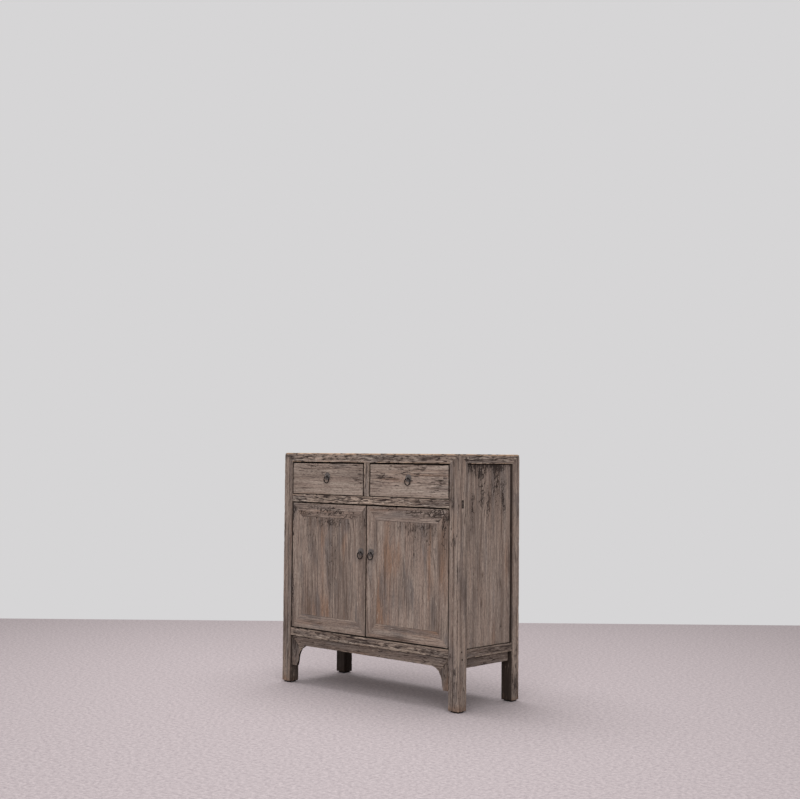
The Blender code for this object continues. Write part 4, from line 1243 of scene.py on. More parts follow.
# Marks that the photograph shows, by the piece that carries them
STAINS: dict[str, tuple[Stain, ...]] = {
    "drawer_left_front": front_marks(
        (-221, 801, 32, 20, 0.35), (-200, 836, 170, 7, 0.35), (-45, 788, 24, 35, 0.35),
        (-322, 818, 50, 9, 0.35), (-120, 828, 60, 6, 0.4)),
    "drawer_right_front": front_marks(
        (67, 795, 30, 18, 0.5), (115, 791, 34, 7, 0.5), (209, 812, 60, 16, 0.45),
        (301, 778, 40, 8, 0.5), (364, 794, 30, 40, 0.45), (250, 832, 120, 10, 0.4)),
    "door_left_top_rail": front_marks(
        (-342, 655, 45, 25, 0.35), (-243, 665, 60, 25, 0.4), (-160, 657, 60, 25, 0.4),
        (-65, 645, 60, 25, 0.3)),
    "door_left_panel": front_marks(
        (-286, 545, 35, 60, 0.28), (-200, 626, 160, 30, 0.42), (-180, 500, 30, 120, 0.3),
        (-250, 290, 110, 60, 0.38, Mark.WARM)),
    "door_left_hinge_stile": front_marks(
        (-393, 609, 12, 80, 0.45), (-386, 354, 12, 80, 0.5), (-382, 668, 30, 24, 0.35)),
    "door_left_meeting_stile": front_marks((-25, 645, 30, 40, 0.35)),
    "door_right_top_rail": front_marks(
        (102, 684, 70, 9, 0.35), (223, 669, 60, 16, 0.4), (315, 669, 55, 22, 0.45),
        (365, 664, 30, 30, 0.4)),
    "door_right_panel": front_marks(
        (310, 590, 50, 90, 0.26), (238, 538, 16, 90, 0.35), (220, 624, 150, 34, 0.3),
        (57, 468, 40, 170, 0.42, Mark.WARM), (150, 500, 60, 120, 0.35, Mark.WARM),
        (80, 301, 60, 70, 0.42, Mark.WARM)),
    "door_right_hinge_stile": front_marks((372, 600, 16, 90, 0.4), (385, 660, 24, 30, 0.35)),
    "door_right_meeting_stile": front_marks((40, 440, 20, 160, 0.5, Mark.WARM)),
    # On the right front post, the mark 415 across and 70 up darkens the front of the leg as painted shade
    "post_front_right": FOOT_WEAR_AND_SHADE + front_marks(
        (413, 709, 12, 30, 0.45), (419, 581, 10, 16, 0.7), (404, 780, 9, 60, 0.45),
        (425, 860, 30, 20, 0.4), (405, 190, 14, 30, 0.45), (415, 70, 34, 80, 0.25), (424, 140, 6, 10, 0.9)),
    "post_front_left": FOOT_WEAR_AND_SHADE + front_marks((-408, 780, 8, 80, 0.4), (-430, 866, 16, 14, 0.45)),
    "post_back_right": FOOT_WEAR_AND_SHADE + side_marks((152, 60, 24, 50, 0.45), (160, 190, 12, 30, 0.4)),
    "post_back_left": FOOT_WEAR_AND_SHADE,
    "spandrel_left": front_marks((-372, 160, 34, 24, 0.45), (-384, 110, 20, 30, 0.2)),
    "spandrel_right": front_marks(
        (378, 158, 34, 26, 0.45), (374, 122, 22, 26, 0.3), (390, 84, 20, 24, 0.9, Mark.WARM)),
    # On the right side panel, the first mark, a band along the top under the rail, is dark residue and painted
    # shade
    "side_panel_right": side_marks(
        (0, 850, 150, 14, 0.6), (-104, 828, 26, 20, 0.48), (-50, 818, 40, 26, 0.44),
        (50, 832, 60, 18, 0.4), (-32, 746, 20, 70, 0.56), (-85, 699, 10, 80, 0.62),
        (46, 774, 30, 70, 0.54), (0, 690, 8, 70, 0.52), (90, 720, 14, 80, 0.52)),
}


@dataclass
class Workshop:
    """Tools and finishes that every sub-assembly uses, and the list of pieces made so far.

    A hollow has a depth, a length and a width, a dent a depth and a size, and a peg a radius, a length
    and a depth of wear. The peg's marks are its soil and the level of its dark remains.
    """

    finishes: Finishes
    weathering: Weathering
    loop: ForgedLoop
    pegs: PegHeads
    hollow: tuple[float, float, float] = (0.5 * MM, 120 * MM, 22 * MM)
    dent: tuple[float, float] = (2.4 * MM, 17 * MM)
    peg: tuple[float, float, float] = (4 * MM, 3 * MM, 0.15 * MM)
    peg_marks: tuple[float, float] = (0.9, 0.2)
    made: list[str] = field(default_factory=list)

    def hand_over(self, name: str, mesh: bpy.types.Mesh, body: str, finish: Finish,
                  nodes: tuple[str, ...]) -> None:
        """Put a finished mesh into the scene as a piece.

        Args:
            name: name of the piece.
            mesh: its finished mesh.
            body: the CAD body that carries it.
            finish: its finish, which is not used.
            nodes: CAD nodes that it stands for, none for an added detail.
        """
        mesh.name = name
        mesh.shade_smooth()
        mesh.set_sharp_from_angle(angle=SMOOTH_ANGLE)
        piece = bpy.data.objects.new(name, mesh)
        bpy.context.scene.collection.objects.link(piece)
        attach(piece, body)
        if nodes:
            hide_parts(*nodes)
        self.made.append(name)
        LOG.info("%s: %d faces, rides on %s", name, len(mesh.polygons), body)

    def timber(self, node: str, body: str, finish: Finish, wood: Body, axes: tuple[Axis, Axis, Axis],
               soil: float = 0.0, wear: float = 1.0, breaks: Iterable[float] = ()) -> None:
        """Wear a timber body and hand it over.

        Args:
            node: CAD node that the piece stands for.
            body: the CAD body that carries it.
            finish: its finish.
            wood: its closed body.
            axes: world axes along the grain, across it and through the thickness.
            soil: level of dark remains all over.
            wear: how worn it is.
            breaks: places across the grain where one board ends and the next begins.
        """
        mesh = self.raw_mesh(node, wood)
        self.mark_up(mesh, node, wood, axes, soil, breaks)
        made = self.weathering.run(mesh, {
            "Hollow Depth": self.hollow[0] * wear, "Hollow Length": self.hollow[1],
            "Hollow Width": self.hollow[2], "Dent Depth": self.dent[0] * wear, "Dent Size": self.dent[1],
            "Seed": float(seed_of(node).uniform(0, SEED_SPREAD)), "Material": finish.material})
        self.hand_over(f"{node}_worn", made, body, finish, (node,))

    def eased(self, node: str, ending: str, body: str, finish: Finish, radius: float) -> None:
        """Ease a CAD solid that isn't timber and hand it over.

        Args:
            node: CAD node that the piece stands for.
            ending: last word of the piece's name.
            body: the CAD body that carries it.
            finish: its finish.
            radius: how far its edges are rounded.
        """
        mesh = self.raw_mesh(node, eased_copy(node, radius))
        mesh.materials.append(finish.material)
        self.hand_over(f"{node}_{ending}", mesh, body, finish, (node,))

    def peg_heads(self, name: str, body: str, finish: Finish, places: list[Vector], turn: Vector,
                  axis: Axis) -> None:
        """Set pegs into the wood and hand them over as one piece.

        Args:
            name: name of the piece.
            body: the CAD body that carries it.
            finish: its finish.
            places: where the pegs go in, each a little under the wood's face.
            turn: rotation that turns the upright peg to its direction.
            axis: world axis that the pegs lie along.
        """
        mesh = bpy.data.meshes.new(name)
        mesh.from_pydata([tuple(p) for p in places], [], [])
        radius, depth, wear = self.peg
        made = self.pegs.run(mesh, {
            "Radius": radius, "Depth": depth, "Turn": turn, "Wear Depth": wear,
            "Seed": int(seed_of(name).integers(1000)), "Material": finish.material})
        points = np.empty(len(made.vertices) * 3, np.float32)
        made.vertices.foreach_get("co", points)
        soil, dark = self.peg_marks
        flat = np.full(len(made.vertices), soil)
        wood = Body(points.reshape(-1, 3).astype(float), [], flat * 0, flat)
        others = [a for a in Axis if a is not axis]
        self.mark_up(made, name, wood, (axis, *others), dark)
        self.hand_over(name, made, body, finish, ())

    @staticmethod
    def mark_up(mesh: bpy.types.Mesh, node: str, wood: Body, axes: tuple[Axis, Axis, Axis], soil: float,
                breaks: Iterable[float] = ()) -> None:
        """Write the wood's coordinates and marks to a mesh.

        Args:
            mesh: the mesh, with the body's points.
            node: name that picks the grain and the placed marks.
            wood: the body with its edge and groove marks.
            axes: world axes along the grain, across it and through the thickness.
            soil: level of dark remains all over.
            breaks: places across the grain where one board ends and the next begins.
        """
        grain = wood.points[:, [a.value for a in axes]] + seed_of(node).uniform(0, GRAIN_SPREAD, 3)
        board = np.searchsorted(sorted(breaks), wood.points[:, axes[1].value])
        grain[:, :2] += board[:, None] * np.array(BOARD_SHIFT)
        count = len(wood.points)
        levels = {EDGE: wood.edge, GROOVE: wood.groove, STAIN: np.full(count, soil), WARMTH: np.zeros(count)}
        for stain in STAINS.get(node, ()):
            levels[stain.kind.value] += stain.level(wood.points)
        layer = mesh.attributes.new(GRAIN, "FLOAT_VECTOR", "POINT")
        layer.data.foreach_set("vector", grain.astype(np.float32).ravel())
        for name in MARKS:
            layer = mesh.attributes.new(name, "FLOAT", "POINT")
            layer.data.foreach_set("value", levels[name].astype(np.float32))

    @staticmethod
    def raw_mesh(name: str, wood: Body) -> bpy.types.Mesh:
        """Make a mesh of a body, with its faces turned outwards.

        Args:
            name: name of the mesh.
            wood: the closed body.

        Returns:
            The mesh.
        """
        mesh = bpy.data.meshes.new(name)
        mesh.from_pydata(wood.points.tolist(), [], wood.faces)
        work = bmesh.new()
        work.from_mesh(mesh)
        bmesh.ops.recalc_face_normals(work, faces=work.faces[:])
        if work.calc_volume(signed=True) < 0:
            bmesh.ops.reverse_faces(work, faces=work.faces[:])
        work.to_mesh(mesh)
        work.free()
        return mesh


@dataclass(frozen=True)
class Plan:
    """Main places of the cabinet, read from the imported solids."""

    outer: float
    inner: float
    front: float
    front_back: float
    back: float
    back_front: float
    foot: float
    top: float
    top_low: float

    @classmethod
    def read(cls) -> "Plan":
        """Read the places from the posts and the top rail.

        Returns:
            The plan.
        """
        low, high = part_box("post_front_right")
        back_low, back_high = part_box("post_back_right")
        rail_low, rail_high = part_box("top_rail_front")
        return cls(outer=high.x, inner=low.x, front=low.y, front_back=high.y, back=back_high.y,
                   back_front=back_low.y, foot=low.z, top=rail_high.z, top_low=rail_low.z)


SIDES = (("left", -1), ("right", 1))

# Roundings and rubs of a stick's four arrises
ROUND_ARRIS = (1.3 * MM, 1.3 * MM, 1 * MM, 1 * MM)
TIGHT_ARRIS = (2.2 * MM, 0.4 * MM, 0.4 * MM, 0.8 * MM)
POST_ARRIS = (3 * MM, 1.5 * MM, 1 * MM, 1.5 * MM)
TOP_ARRIS = (3 * MM, 1.2 * MM, 0.6 * MM, 0.6 * MM)
DIVIDER_ARRIS = (1.2 * MM,) * 4
SIDE_PANEL_ARRIS = (0.6 * MM,) * 4
SHARP_ARRIS = (0.5 * MM,) * 4
DOOR_PANEL_ARRIS = (0.4 * MM,) * 4
DRAWER_ARRIS = (3 * MM, 1.3 * MM, 1 * MM, 1 * MM)
NO_RUB = (0.0, 0.0, 0.0, 0.0)
OUTER_RUB = (0.8, 0.0, 0.0, 0.0)
POST_RUB = (0.6, 0.6, 0.0, 0.5)
TOP_RUB = (1.5, 0.9, 0.0, 0.3)
DRAWER_RUB = (0.4, 0.8, 0.0, 0.0)

# How dark the line of a joint is
CORNER_JOINT = 0.15
SHOULDER_JOINT = 0.9
TENON_JOINT = 0.86
DRAWER_JOINT = 0.95

# Faces that are alike on several sticks
RAIL_FACES = (RAIL_RIDGES, PAINTED_GAP_SHADE, PLAIN, PAINTED_GAP_SHADE)
DIVIDER_FACES = (BROAD_RIDGES, PAINTED_GAP_SHADE, PLAIN, PAINTED_GAP_SHADE)
TOP_FACES = (RAIL_RIDGES, PAINTED_GAP_SHADE, PLAIN, BOARD)
DOOR_FACES = (BOARD, PLAIN, PLAIN, PAINTED_GAP_SHADE)
DRAWER_FACES = (BOARD, PAINTED_SHADE_AND_DARK_END, PLAIN, PAINTED_GAP_SHADE)

# World axes along the grain, across it and through the thickness
FRONT_GRAIN_X = (Axis.X, Axis.Z, Axis.Y)
FRONT_GRAIN_Z = (Axis.Z, Axis.X, Axis.Y)
SIDE_GRAIN_Y = (Axis.Y, Axis.Z, Axis.X)
SIDE_GRAIN_Z = (Axis.Z, Axis.Y, Axis.X)
FLAT_GRAIN_X = (Axis.X, Axis.Y, Axis.Z)
FLAT_GRAIN_Y = (Axis.Y, Axis.X, Axis.Z)

# Boards that show only behind open doors and drawers
INNER_EASE = 0.6 * MM
INNER_WEAR = 0.3


@dataclass
class Carcass:
    """Posts, rails, panels, aprons and the boards inside.

    The tenon has a setback, a thickness, a shoulder and a seat in the rail. The panel's shadows are the
    dark gaps at the foot and the top of a side panel. The apron's painted shade has a start and a fade,
    measured from its face backwards. A peg's spot is its distance behind the front and its height.
    """

    shop: Workshop
    plan: Plan
    foot_wear: float = 2.5 * MM
    corner_round: float = 7 * MM
    post_skin: float = 2 * MM
    cupboard_shade_share: float = 0.5
    seat: float = 2 * MM
    # The side panel's rebate by the back post, laid near-black as painted shade in the recess
    panel_gap: tuple[float, float] = (5 * MM, 5 * MM)
    # A dark strip along the side panel's front edge: painted shade in the corner by the post
    panel_edge_shade: Quirk = Quirk(0.032, 3.6 * MM, 0.3 * MM, 0.85)
    panel_shadows: tuple[float, float] = (1 * MM, 2.5 * MM)
    top_gap: float = 0.4 * MM
    top_seams: tuple[float, ...] = (0.54,)
    back_seams: tuple[float, ...] = (0.21, 0.40, 0.62, 0.81)
    tenon_sizes: tuple[float, float, float, float] = (11 * MM, 12 * MM, 1 * MM, 2 * MM)
    peg_spots: tuple[tuple[float, float], ...] = ((17 * MM, 206 * MM), (20 * MM, 180 * MM))
    peg_under: float = 3.2 * MM
    apron_ease: float = 1.2 * MM
    apron_bite: float = 8 * MM
    apron_shade: float = 0.95
    apron_shade_depth: tuple[float, float] = (0.5 * MM, 0.6 * MM)
    apron_wear: float = 1.3
    spandrel_wear: float = 0.5
    mitre_line: float = 2 * MM
    mitre_shade_share: float = 0.5
    pad_ease: float = 0.8 * MM
    body: str = "carcass"

    def build(self) -> None:
        """Build every piece of the carcass."""
        self.posts()
        self.top()
        self.rails()
        self.panels()
        self.aprons()
        self.side_pegs()
        self.hidden_boards()
        self.pads()

    def posts(self) -> None:
        """Four posts with grooved faces, mitred to the top rails and black with painted shade under the
        cupboard.
        """
        plan, shop = self.plan, self.shop
        floor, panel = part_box("bottom_rail_back")[1].z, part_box("side_panel_right")[0].x
        height = Span(Axis.Z, plan.foot, plan.top_low)
        ends = (End(worn=self.foot_wear, joint=0.0),
                End(EndCut.CORNER, plan.top - plan.top_low, joint=CORNER_JOINT))
        for side, way in SIDES:
            width = Span(Axis.X, way * plan.outer, way * plan.inner)
            for row, face, behind, shade_faces in (("front", plan.front, plan.front_back, (PAINTED_SHADE_BROWN, PAINTED_SHADE_AND_DARK_END)),
                                              ("back", plan.back, plan.back_front, (PAINTED_SHADE_BLACK, PAINTED_SHADE_DARK))):
                stick = Stick(height, width, Span(Axis.Y, face, behind), (POST_FRONT, *shade_faces, POST_SIDE),
                              POST_ARRIS, POST_RUB, ends)
                wood = self.softened(stick.make())
                # The back posts' painted shade is weakened on their faces inside the cupboard
                if row == "back":
                    out, deep, up = np.abs(wood.points).T
                    hidden = np.minimum(out - plan.inner, deep - behind) < self.post_skin
                    wood.groove[hidden & (out < panel) & (up > floor)] *= self.cupboard_shade_share
                shop.timber(f"post_{row}_{side}", self.body, shop.finishes.frame, wood, FRONT_GRAIN_Z,
                            soil=0.08)

    def softened(self, wood: Body) -> Body:
        """Round off the four top corners of the cabinet.

        Args:
            wood: a body that reaches into them.

        Returns:
            The same body.
        """
        for way in (-1, 1):
            for depth in (self.plan.front, self.plan.back):
                wood.soften(Vector((way * self.plan.outer, depth, self.plan.top)), self.corner_round)
        return wood

    def top(self) -> None:
        """Mitred top frame and the panel inside it."""
        plan, shop = self.plan, self.shop
        height = Span(Axis.Z, plan.top, plan.top_low)
        wide, deep = Span(Axis.X, -plan.inner, plan.inner), Span(Axis.Y, plan.front_back, plan.back_front)
        side_tip, front_tip, back_tip = (End(EndCut.CORNER, reach, joint=CORNER_JOINT) for reach in (
            plan.outer - plan.inner, plan.front_back - plan.front, plan.back - plan.back_front))
        across = (wide, (side_tip, side_tip), FRONT_GRAIN_X, 0.25)
        along = (deep, (front_tip, back_tip), SIDE_GRAIN_Y, 0.32)
        for name, depth, (run, tips, axes, soil) in (
            ("front", Span(Axis.Y, plan.front, plan.front_back), across),
            ("back", Span(Axis.Y, plan.back, plan.back_front), across),
            ("left", Span(Axis.X, -plan.outer, -plan.inner), along),
            ("right", Span(Axis.X, plan.outer, plan.inner), along),
        ):
            stick = Stick(run, height, depth, TOP_FACES, TOP_ARRIS, TOP_RUB, tips)
            wood = self.softened(stick.make())
            shop.timber(f"top_rail_{name}", self.body, shop.finishes.top, wood, axes, soil=soil)
        gap = self.top_gap
        self.jointed("top_panel", Span(Axis.X, -plan.inner + gap, plan.inner - gap),
                     Span(Axis.Y, plan.front_back + gap, plan.back_front - gap),
                     inward_span(Axis.Z, "top_panel", 1), self.top_seams, SHARP_ARRIS, 0.1)

    def jointed(self, node: str, run: Span, across: Span, depth: Span, seams: tuple[float, ...],
                rounds: tuple[float, float, float, float], soil: float) -> None:
        """A panel of several boards, edge to edge.

        Args:
            node: CAD node that the panel stands for.
            run: its length along the grain.
            across: its width.
            depth: its thickness.
            seams: places of the seams as shares of the width.
            rounds: roundings of its arrises.
            soil: level of dark remains all over.
        """
        shown = Face(step=BOARD_STEP, quirks=tuple(map(Quirk, seams)))
        stick = Stick(run, across, depth, (shown, PLAIN, PLAIN, PLAIN), rounds, NO_RUB)
        axes = (run.axis, across.axis, depth.axis)
        breaks = across.at(np.array(seams) * across.length)
        self.shop.timber(node, self.body, self.shop.finishes.panel, stick.make(), axes, soil, breaks=breaks)

    def rails(self) -> None:
        """Beaded rails between the posts, the divider and the through tenons of the middle rail."""
        plan, shop = self.plan, self.shop
        wide, deep = Span(Axis.X, -plan.inner, plan.inner), Span(Axis.Y, plan.front_back, plan.back_front)
        shoulders = (End(joint=SHOULDER_JOINT), End(joint=SHOULDER_JOINT))
        for node, run, way, axes, finish, soil in (
            ("middle_rail_front", wide, -1, FRONT_GRAIN_X, shop.finishes.rail, 0.28),
            ("bottom_rail_front", wide, -1, FRONT_GRAIN_X, shop.finishes.rail, 0.28),
            ("bottom_rail_back", wide, 1, FRONT_GRAIN_X, shop.finishes.rail, 0.28),
            ("bottom_rail_left", deep, -1, SIDE_GRAIN_Y, shop.finishes.low_rail, 0.3),
            ("bottom_rail_right", deep, 1, SIDE_GRAIN_Y, shop.finishes.low_rail, 0.3),
        ):
            wood = Stick(run, inward_span(Axis.Z, node, 1), inward_span(axes[2], node, way), RAIL_FACES,
                         ROUND_ARRIS, ends=shoulders).make()
            if node == "middle_rail_front":
                for _, side_way in SIDES:
                    wood = wood.join(self.tenon(side_way, *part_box(node)))
            shop.timber(node, self.body, finish, wood, axes, soil=soil)
        stick = Stick(Span(Axis.Z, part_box("middle_rail_front")[1].z, plan.top_low),
                      inward_span(Axis.X, "drawer_divider", -1), inward_span(Axis.Y, "drawer_divider", -1),
                      DIVIDER_FACES, DIVIDER_ARRIS)
        shop.timber("drawer_divider", self.body, shop.finishes.rail, stick.make(), FRONT_GRAIN_Z, soil=0.2)

    def tenon(self, way: int, low: Vector, high: Vector) -> Body:
        """End of the middle rail's tenon, which shows on a post's side.

        Args:
            way: side of the cabinet.
            low: lowest corner of the rail's solid.
            high: highest corner of the rail's solid.

        Returns:
            The tenon's closed body.
        """
        setback, thickness, shoulder, seat = self.tenon_sizes
        return Stick(Span(Axis.X, way * (self.plan.inner - seat), way * self.plan.outer),
                     Span(Axis.Z, high.z - shoulder, low.z + shoulder),
                     Span(Axis.Y, low.y + setback, low.y + setback + thickness),
                     (PAINTED_SHADE_AND_DARK_END,) * 4, SHARP_ARRIS, NO_RUB, (End(), End(joint=TENON_JOINT))).make()

    def side_pegs(self) -> None:
        """Pegs through the tenons of the bottom rail, on the outer side of each front post."""
        plan, shop = self.plan, self.shop
        for side, way in SIDES:
            places = [Vector((way * (plan.outer - self.peg_under), plan.front + back, up))
                      for back, up in self.peg_spots]
            shop.peg_heads(f"pegs_{side}", self.body, shop.finishes.frame, places,
                           Vector((0, way * math.pi / 2, 0)), Axis.X)

    def panels(self) -> None:
        """Side panels and the back panel, seated in their frames."""
        plan, shop, seat = self.plan, self.shop, self.seat
        shown = Face(step=BOARD_STEP, rebate=self.panel_gap, quirks=(self.panel_edge_shade,))
        low_shadow, top_shadow = self.panel_shadows
        ends = (End(joint=SHOULDER_JOINT, gap=seat + low_shadow), End(joint=1.0, gap=seat + top_shadow))
        for side, way in SIDES:
            node = f"side_panel_{side}"
            stick = Stick(Span(Axis.Z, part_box(f"bottom_rail_{side}")[1].z - seat, plan.top_low + seat),
                          Span(Axis.Y, plan.front_back - seat, plan.back_front + seat),
                          inward_span(Axis.X, node, way), (shown, PLAIN, PLAIN, PLAIN), SIDE_PANEL_ARRIS,
                          NO_RUB, ends)
            shop.timber(node, self.body, shop.finishes.side, stick.make(), SIDE_GRAIN_Z, soil=0.05)
        self.jointed("back_panel", Span(Axis.Z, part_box("bottom_rail_back")[1].z - seat, plan.top_low + seat),
                     Span(Axis.X, -plan.inner - seat, plan.inner + seat),
                     inward_span(Axis.Y, "back_panel", 1), self.back_seams, SIDE_PANEL_ARRIS, 0.15)

    def aprons(self) -> None:
        """Recessed front apron with its curved spandrels, and the straight side aprons."""
        shop, rail_low = self.shop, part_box("bottom_rail_front")[0].z
        start, fade = self.apron_shade_depth
        for node, axes, wear in (("apron_front", FRONT_GRAIN_X, self.apron_wear),
                                 ("spandrel_left", FRONT_GRAIN_Z, self.spandrel_wear),
                                 ("spandrel_right", FRONT_GRAIN_Z, self.spandrel_wear),
                                 ("apron_left", SIDE_GRAIN_Y, self.apron_wear),
                                 ("apron_right", SIDE_GRAIN_Y, self.apron_wear)):
            wood = eased_copy(node, self.apron_ease, self.apron_bite)
            # Faces behind the front face, the edges and the spandrels' curved undersides, are darkened as
            # painted shade, less along the mitre
            behind = np.abs(wood.points[:, axes[2].value])
            wood.groove = self.apron_shade * np.clip((behind.max() - behind - start) / fade, 0, 1)
            if axes is not SIDE_GRAIN_Y:
                reach = self.plan.inner - np.abs(wood.points[:, 0])
                mitre = np.abs(reach - rail_low + wood.points[:, 2]) < self.mitre_line
                wood.groove[mitre] *= self.mitre_shade_share
            shop.timber(node, self.body, shop.finishes.apron, wood, axes, soil=0.25, wear=wear)

    def hidden_boards(self) -> None:
        """Runners, bearer and floor, which show only behind open doors and drawers."""
        shop = self.shop
        for node, axes in (("drawer_runner_left", FLAT_GRAIN_Y), ("drawer_runner_center", FLAT_GRAIN_Y),
                           ("drawer_runner_right", FLAT_GRAIN_Y), ("drawer_bearer_back", FRONT_GRAIN_X),
                           ("floor_board", FLAT_GRAIN_X)):
            wood = eased_copy(node, INNER_EASE)
            shop.timber(node, self.body, shop.finishes.inner, wood, axes, wear=INNER_WEAR)

    def pads(self) -> None:
        """Felt pads under the feet."""
        shop = self.shop
        for side, _ in SIDES:
            for row in ("front", "back"):
                shop.eased(f"foot_pad_{row}_{side}", "felt", self.body, shop.finishes.pad, self.pad_ease)


@dataclass
class RingPull:
    """Round plate with an eye, a clenched pin behind the wood, and the ring that hangs in the eye.

    The hammer's blows have a depth and a size.
    """

    shop: Workshop
    owner: str
    bar: float = 2 * MM
    hammer: tuple[float, float] = (0.25 * MM, 5 * MM)
    plate_ease: float = 0.3 * MM

    def build(self) -> None:
        """Build the ring, and the plate with its eye."""
        shop, finishes = self.shop, self.shop.finishes
        ring = f"{self.owner}_pull_ring"
        low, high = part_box(ring)
        mesh = shop.loop.run(bpy.data.meshes.new(ring), {
            "Radius": (high.x - low.x) / 2 - self.bar, "Bar Radius": self.bar, "Centre": (low + high) / 2,
            "Turn": (math.pi / 2, 0.0, 0.0), "Hammer Depth": self.hammer[0], "Hammer Size": self.hammer[1],
            "Seed": float(seed_of(ring).uniform(0, SEED_SPREAD)), "Material": finishes.ring.material})
        shop.hand_over(f"{ring}_iron", mesh, f"ring_{self.owner}", finishes.ring, (ring,))
        shop.eased(f"{self.owner}_pull_plate", "iron", self.owner, finishes.plate, self.plate_ease)


@dataclass
class Door:
    """Mitred frame round a nearly flush panel, hung on wooden pins."""

    shop: Workshop
    side: str
    way: int
    pin_radius: float = 5 * MM
    pin_spot: tuple[float, float] = (12 * MM, 8 * MM)
    panel_gap: float = 0.3 * MM

    def build(self) -> None:
        """Build the frame, the panel and the pull."""
        body = f"door_{self.side}"
        shop, finishes = self.shop, self.shop.finishes
        meeting_low, meeting_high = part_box(f"{body}_meeting_stile")
        hinge_low, hinge_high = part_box(f"{body}_hinge_stile")
        outer = hinge_high.x if self.way > 0 else hinge_low.x
        inner = meeting_low.x if self.way > 0 else meeting_high.x
        width = meeting_high.x - meeting_low.x
        depth = Span(Axis.Y, meeting_low.y, meeting_high.y)
        height = Span(Axis.Z, meeting_low.z, meeting_high.z)
        tight, gaping = End(EndCut.MITRE), End(EndCut.MITRE, joint=1.0)
        into = math.copysign(width, inner - outer)
        pin = Vector((outer + math.copysign(self.pin_spot[0], into), hinge_low.y + self.pin_spot[1], 0))
        for name, across, top in (("hinge_stile", Span(Axis.X, outer, outer + into), gaping),
                                  ("meeting_stile", Span(Axis.X, inner, inner - into), tight)):
            wood = Stick(height, across, depth, DOOR_FACES, TIGHT_ARRIS, OUTER_RUB, (tight, top)).make()
            if name == "hinge_stile":
                for low, high in ((hinge_low.z, height.start + width / 2),
                                  (height.stop - width / 2, hinge_high.z)):
                    wood = wood.join(turned_pin(self.pin_radius, pin, low, high))
            shop.timber(f"{body}_{name}", body, finishes.stile, wood, FRONT_GRAIN_Z, soil=0.05)
        for name, edge, way, far, finish in (
            ("top_rail", height.stop, -1, gaping, finishes.door_rail),
            ("bottom_rail", height.start, 1, tight, finishes.stile),
        ):
            stick = Stick(Span(Axis.X, inner, outer), Span(Axis.Z, edge, edge + way * width), depth,
                          DOOR_FACES, TIGHT_ARRIS, OUTER_RUB, (tight, far))
            shop.timber(f"{body}_{name}", body, finish, stick.make(), FRONT_GRAIN_X, soil=0.05)
        gap = self.panel_gap
        left, right = sorted((outer + into, inner - into))
        stick = Stick(Span(Axis.Z, height.start + width + gap, height.stop - width - gap),
                      Span(Axis.X, left + gap, right - gap), inward_span(Axis.Y, f"{body}_panel", -1),
                      (BOARD, PLAIN, PLAIN, PLAIN), DOOR_PANEL_ARRIS, NO_RUB)
        shop.timber(f"{body}_panel", body, finishes.panel, stick.make(), FRONT_GRAIN_Z, soil=0.03)
        RingPull(shop, body).build()


@dataclass
class Drawer:
    """Drawer with a plain front board and a thin box behind it. The right end of the front gapes."""

    shop: Workshop
    side: str
    end_wear: float = 1.4 * MM
    end_gap: float = 2 * MM

    def build(self) -> None:
        """Build the front, the box and the pull."""
        body = f"drawer_{self.side}"
        shop, front = self.shop, f"{body}_front"
        stick = Stick(inward_span(Axis.X, front, -1), inward_span(Axis.Z, front, 1),
                      inward_span(Axis.Y, front, -1), DRAWER_FACES, DRAWER_ARRIS, DRAWER_RUB,
                      (End(worn=self.end_wear, joint=DRAWER_JOINT),
                       End(worn=self.end_wear, joint=DRAWER_JOINT, gap=self.end_gap)))
        shop.timber(front, body, shop.finishes.drawer, stick.make(), FRONT_GRAIN_X, soil=0.05)
        for name, axes in (("side_left", SIDE_GRAIN_Y), ("side_right", SIDE_GRAIN_Y),
                           ("back", FRONT_GRAIN_X), ("bottom", FLAT_GRAIN_X)):
            node = f"{body}_{name}"
            wood = eased_copy(node, INNER_EASE)
            shop.timber(node, body, shop.finishes.inner, wood, axes, wear=INNER_WEAR)
        RingPull(shop, body).build()


@dataclass(frozen=True)
class Lamp:
    """A soft square lamp: its name, its place, its size in metres and its power in watts."""

    name: str
    place: tuple[float, float, float]
    size: float
    power: float


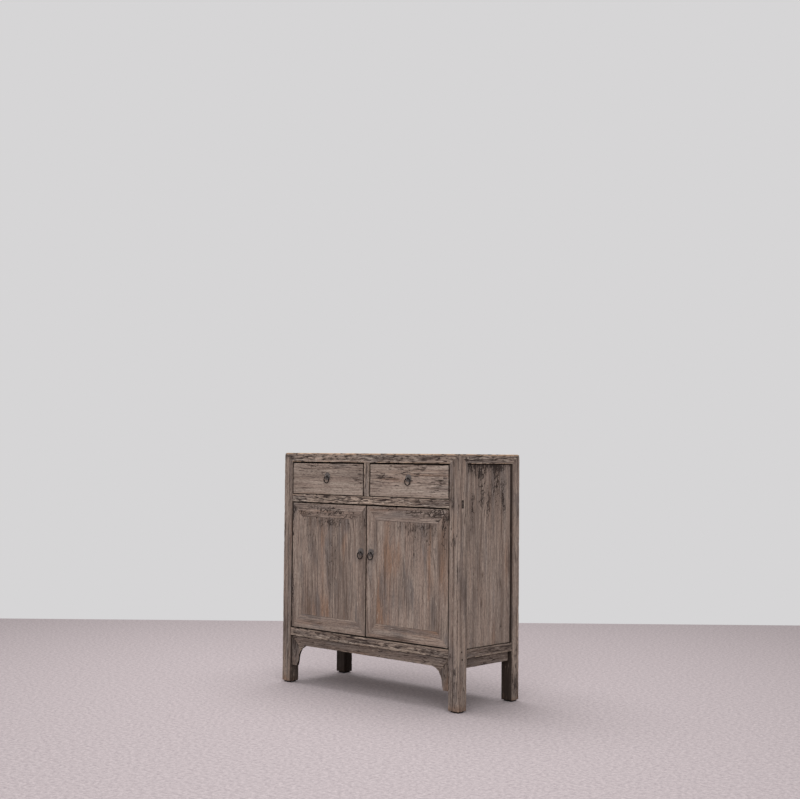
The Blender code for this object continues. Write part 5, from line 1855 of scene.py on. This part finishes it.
@dataclass
class Studio:
    """Pale floor, soft light and the camera."""

    eye: tuple[float, float, float] = (3.2255, -3.4895, 0.8705)
    forward: tuple[float, float, float] = (-0.67671, 0.73490, 0.04469)
    roll: float = 0.0088
    lens: float = 57.04
    sensor: float = 36.0
    floor_behind: float = 6.71
    floor_reach: float = 12.0
    aim: tuple[float, float, float] = (0.0, 0.0, 0.4)
    lamps: tuple[Lamp, ...] = (Lamp("overhead lamp", (-0.5, 0.2, 3.4), 2.2, 85.0),
                               Lamp("front lamp", (2.6, -2.8, 2.6), 3.6, 92.0))
    glow: str = "#f2f0ee"
    glow_strength: float = 0.56
    backdrop: str = "#d6d5d6"

    def build(self) -> None:
        """Build the camera, the floor, the lamps and the world."""
        self.camera()
        self.floor()
        self.hang_lamps()
        self.world()
        bpy.context.scene.view_settings.view_transform = "Standard"

    def camera(self) -> None:
        """Place the camera at the photograph's angle."""
        forward = Vector(self.forward).normalized()
        level = forward.cross(Vector((0, 0, 1))).normalized()
        upright = level.cross(forward)
        right = level * math.cos(self.roll) + upright * math.sin(self.roll)
        up = upright * math.cos(self.roll) - level * math.sin(self.roll)
        turn = Matrix((right, up, -forward)).transposed().to_4x4()
        data = bpy.data.cameras.new("camera")
        data.lens, data.sensor_width = self.lens, self.sensor
        camera = bpy.data.objects.new("camera", data)
        camera.matrix_world = Matrix.Translation(self.eye) @ turn
        bpy.context.scene.collection.objects.link(camera)
        bpy.context.scene.camera = camera

    def floor(self) -> None:
        """Lay the floor, whose far edge meets the backdrop behind the cabinet."""
        away = Vector((self.forward[0], self.forward[1], 0)).normalized()
        beside = Vector((away.y, -away.x, 0))
        stand = Vector((self.eye[0], self.eye[1], 0))
        far = stand + away * self.floor_behind
        near = far - away * self.floor_reach
        corners = [far - beside * self.floor_reach, far + beside * self.floor_reach,
                   near + beside * self.floor_reach, near - beside * self.floor_reach]
        mesh = bpy.data.meshes.new("floor")
        mesh.from_pydata([tuple(c) for c in corners], [], [(3, 2, 1, 0)])
        mesh.materials.append(StudioFloor("studio floor").make())
        floor = bpy.data.objects.new("floor", mesh)
        bpy.context.scene.collection.objects.link(floor)

    def hang_lamps(self) -> None:
        """Hang a broad soft lamp overhead and a fill in front."""
        for lamp in self.lamps:
            data = bpy.data.lights.new(lamp.name, "AREA")
            data.size, data.energy = lamp.size, lamp.power
            hung = bpy.data.objects.new(lamp.name, data)
            hung.location = lamp.place
            hung.rotation_mode = "QUATERNION"
            hung.rotation_quaternion = (Vector(self.aim) - Vector(lamp.place)).to_track_quat("-Z", "Y")
            hung.visible_camera = False
            bpy.context.scene.collection.objects.link(hung)

    def world(self) -> None:
        """Light from all round, seen by the camera as the pale backdrop."""
        world = bpy.data.worlds.new("studio")
        world.use_nodes = True
        tree = world.node_tree
        tree.nodes.clear()
        light = add(tree, "ShaderNodeBackground", {
            "Color": linear(self.glow), "Strength": self.glow_strength})
        seen = add(tree, "ShaderNodeBackground", {"Color": linear(self.backdrop), "Strength": 1.0})
        ray = add(tree, "ShaderNodeLightPath")
        mixed = add(tree, "ShaderNodeMixShader", {
            0: ray.outputs["Is Camera Ray"], 1: light.outputs[0], 2: seen.outputs[0]})
        add(tree, "ShaderNodeOutputWorld", {"Surface": mixed.outputs[0]})
        bpy.context.scene.world = world


def main() -> None:
    """Build the sideboard and its studio."""
    logging.basicConfig(level=logging.INFO, format="%(message)s")
    shop = Workshop(Finishes(), Weathering(), ForgedLoop(), PegHeads())
    Carcass(shop, Plan.read()).build()
    for side, way in SIDES:
        Door(shop, side, way).build()
        Drawer(shop, side).build()
    Studio().build()
    LOG.info("%d pieces", len(shop.made))


if __name__ == "__main__":
    main()
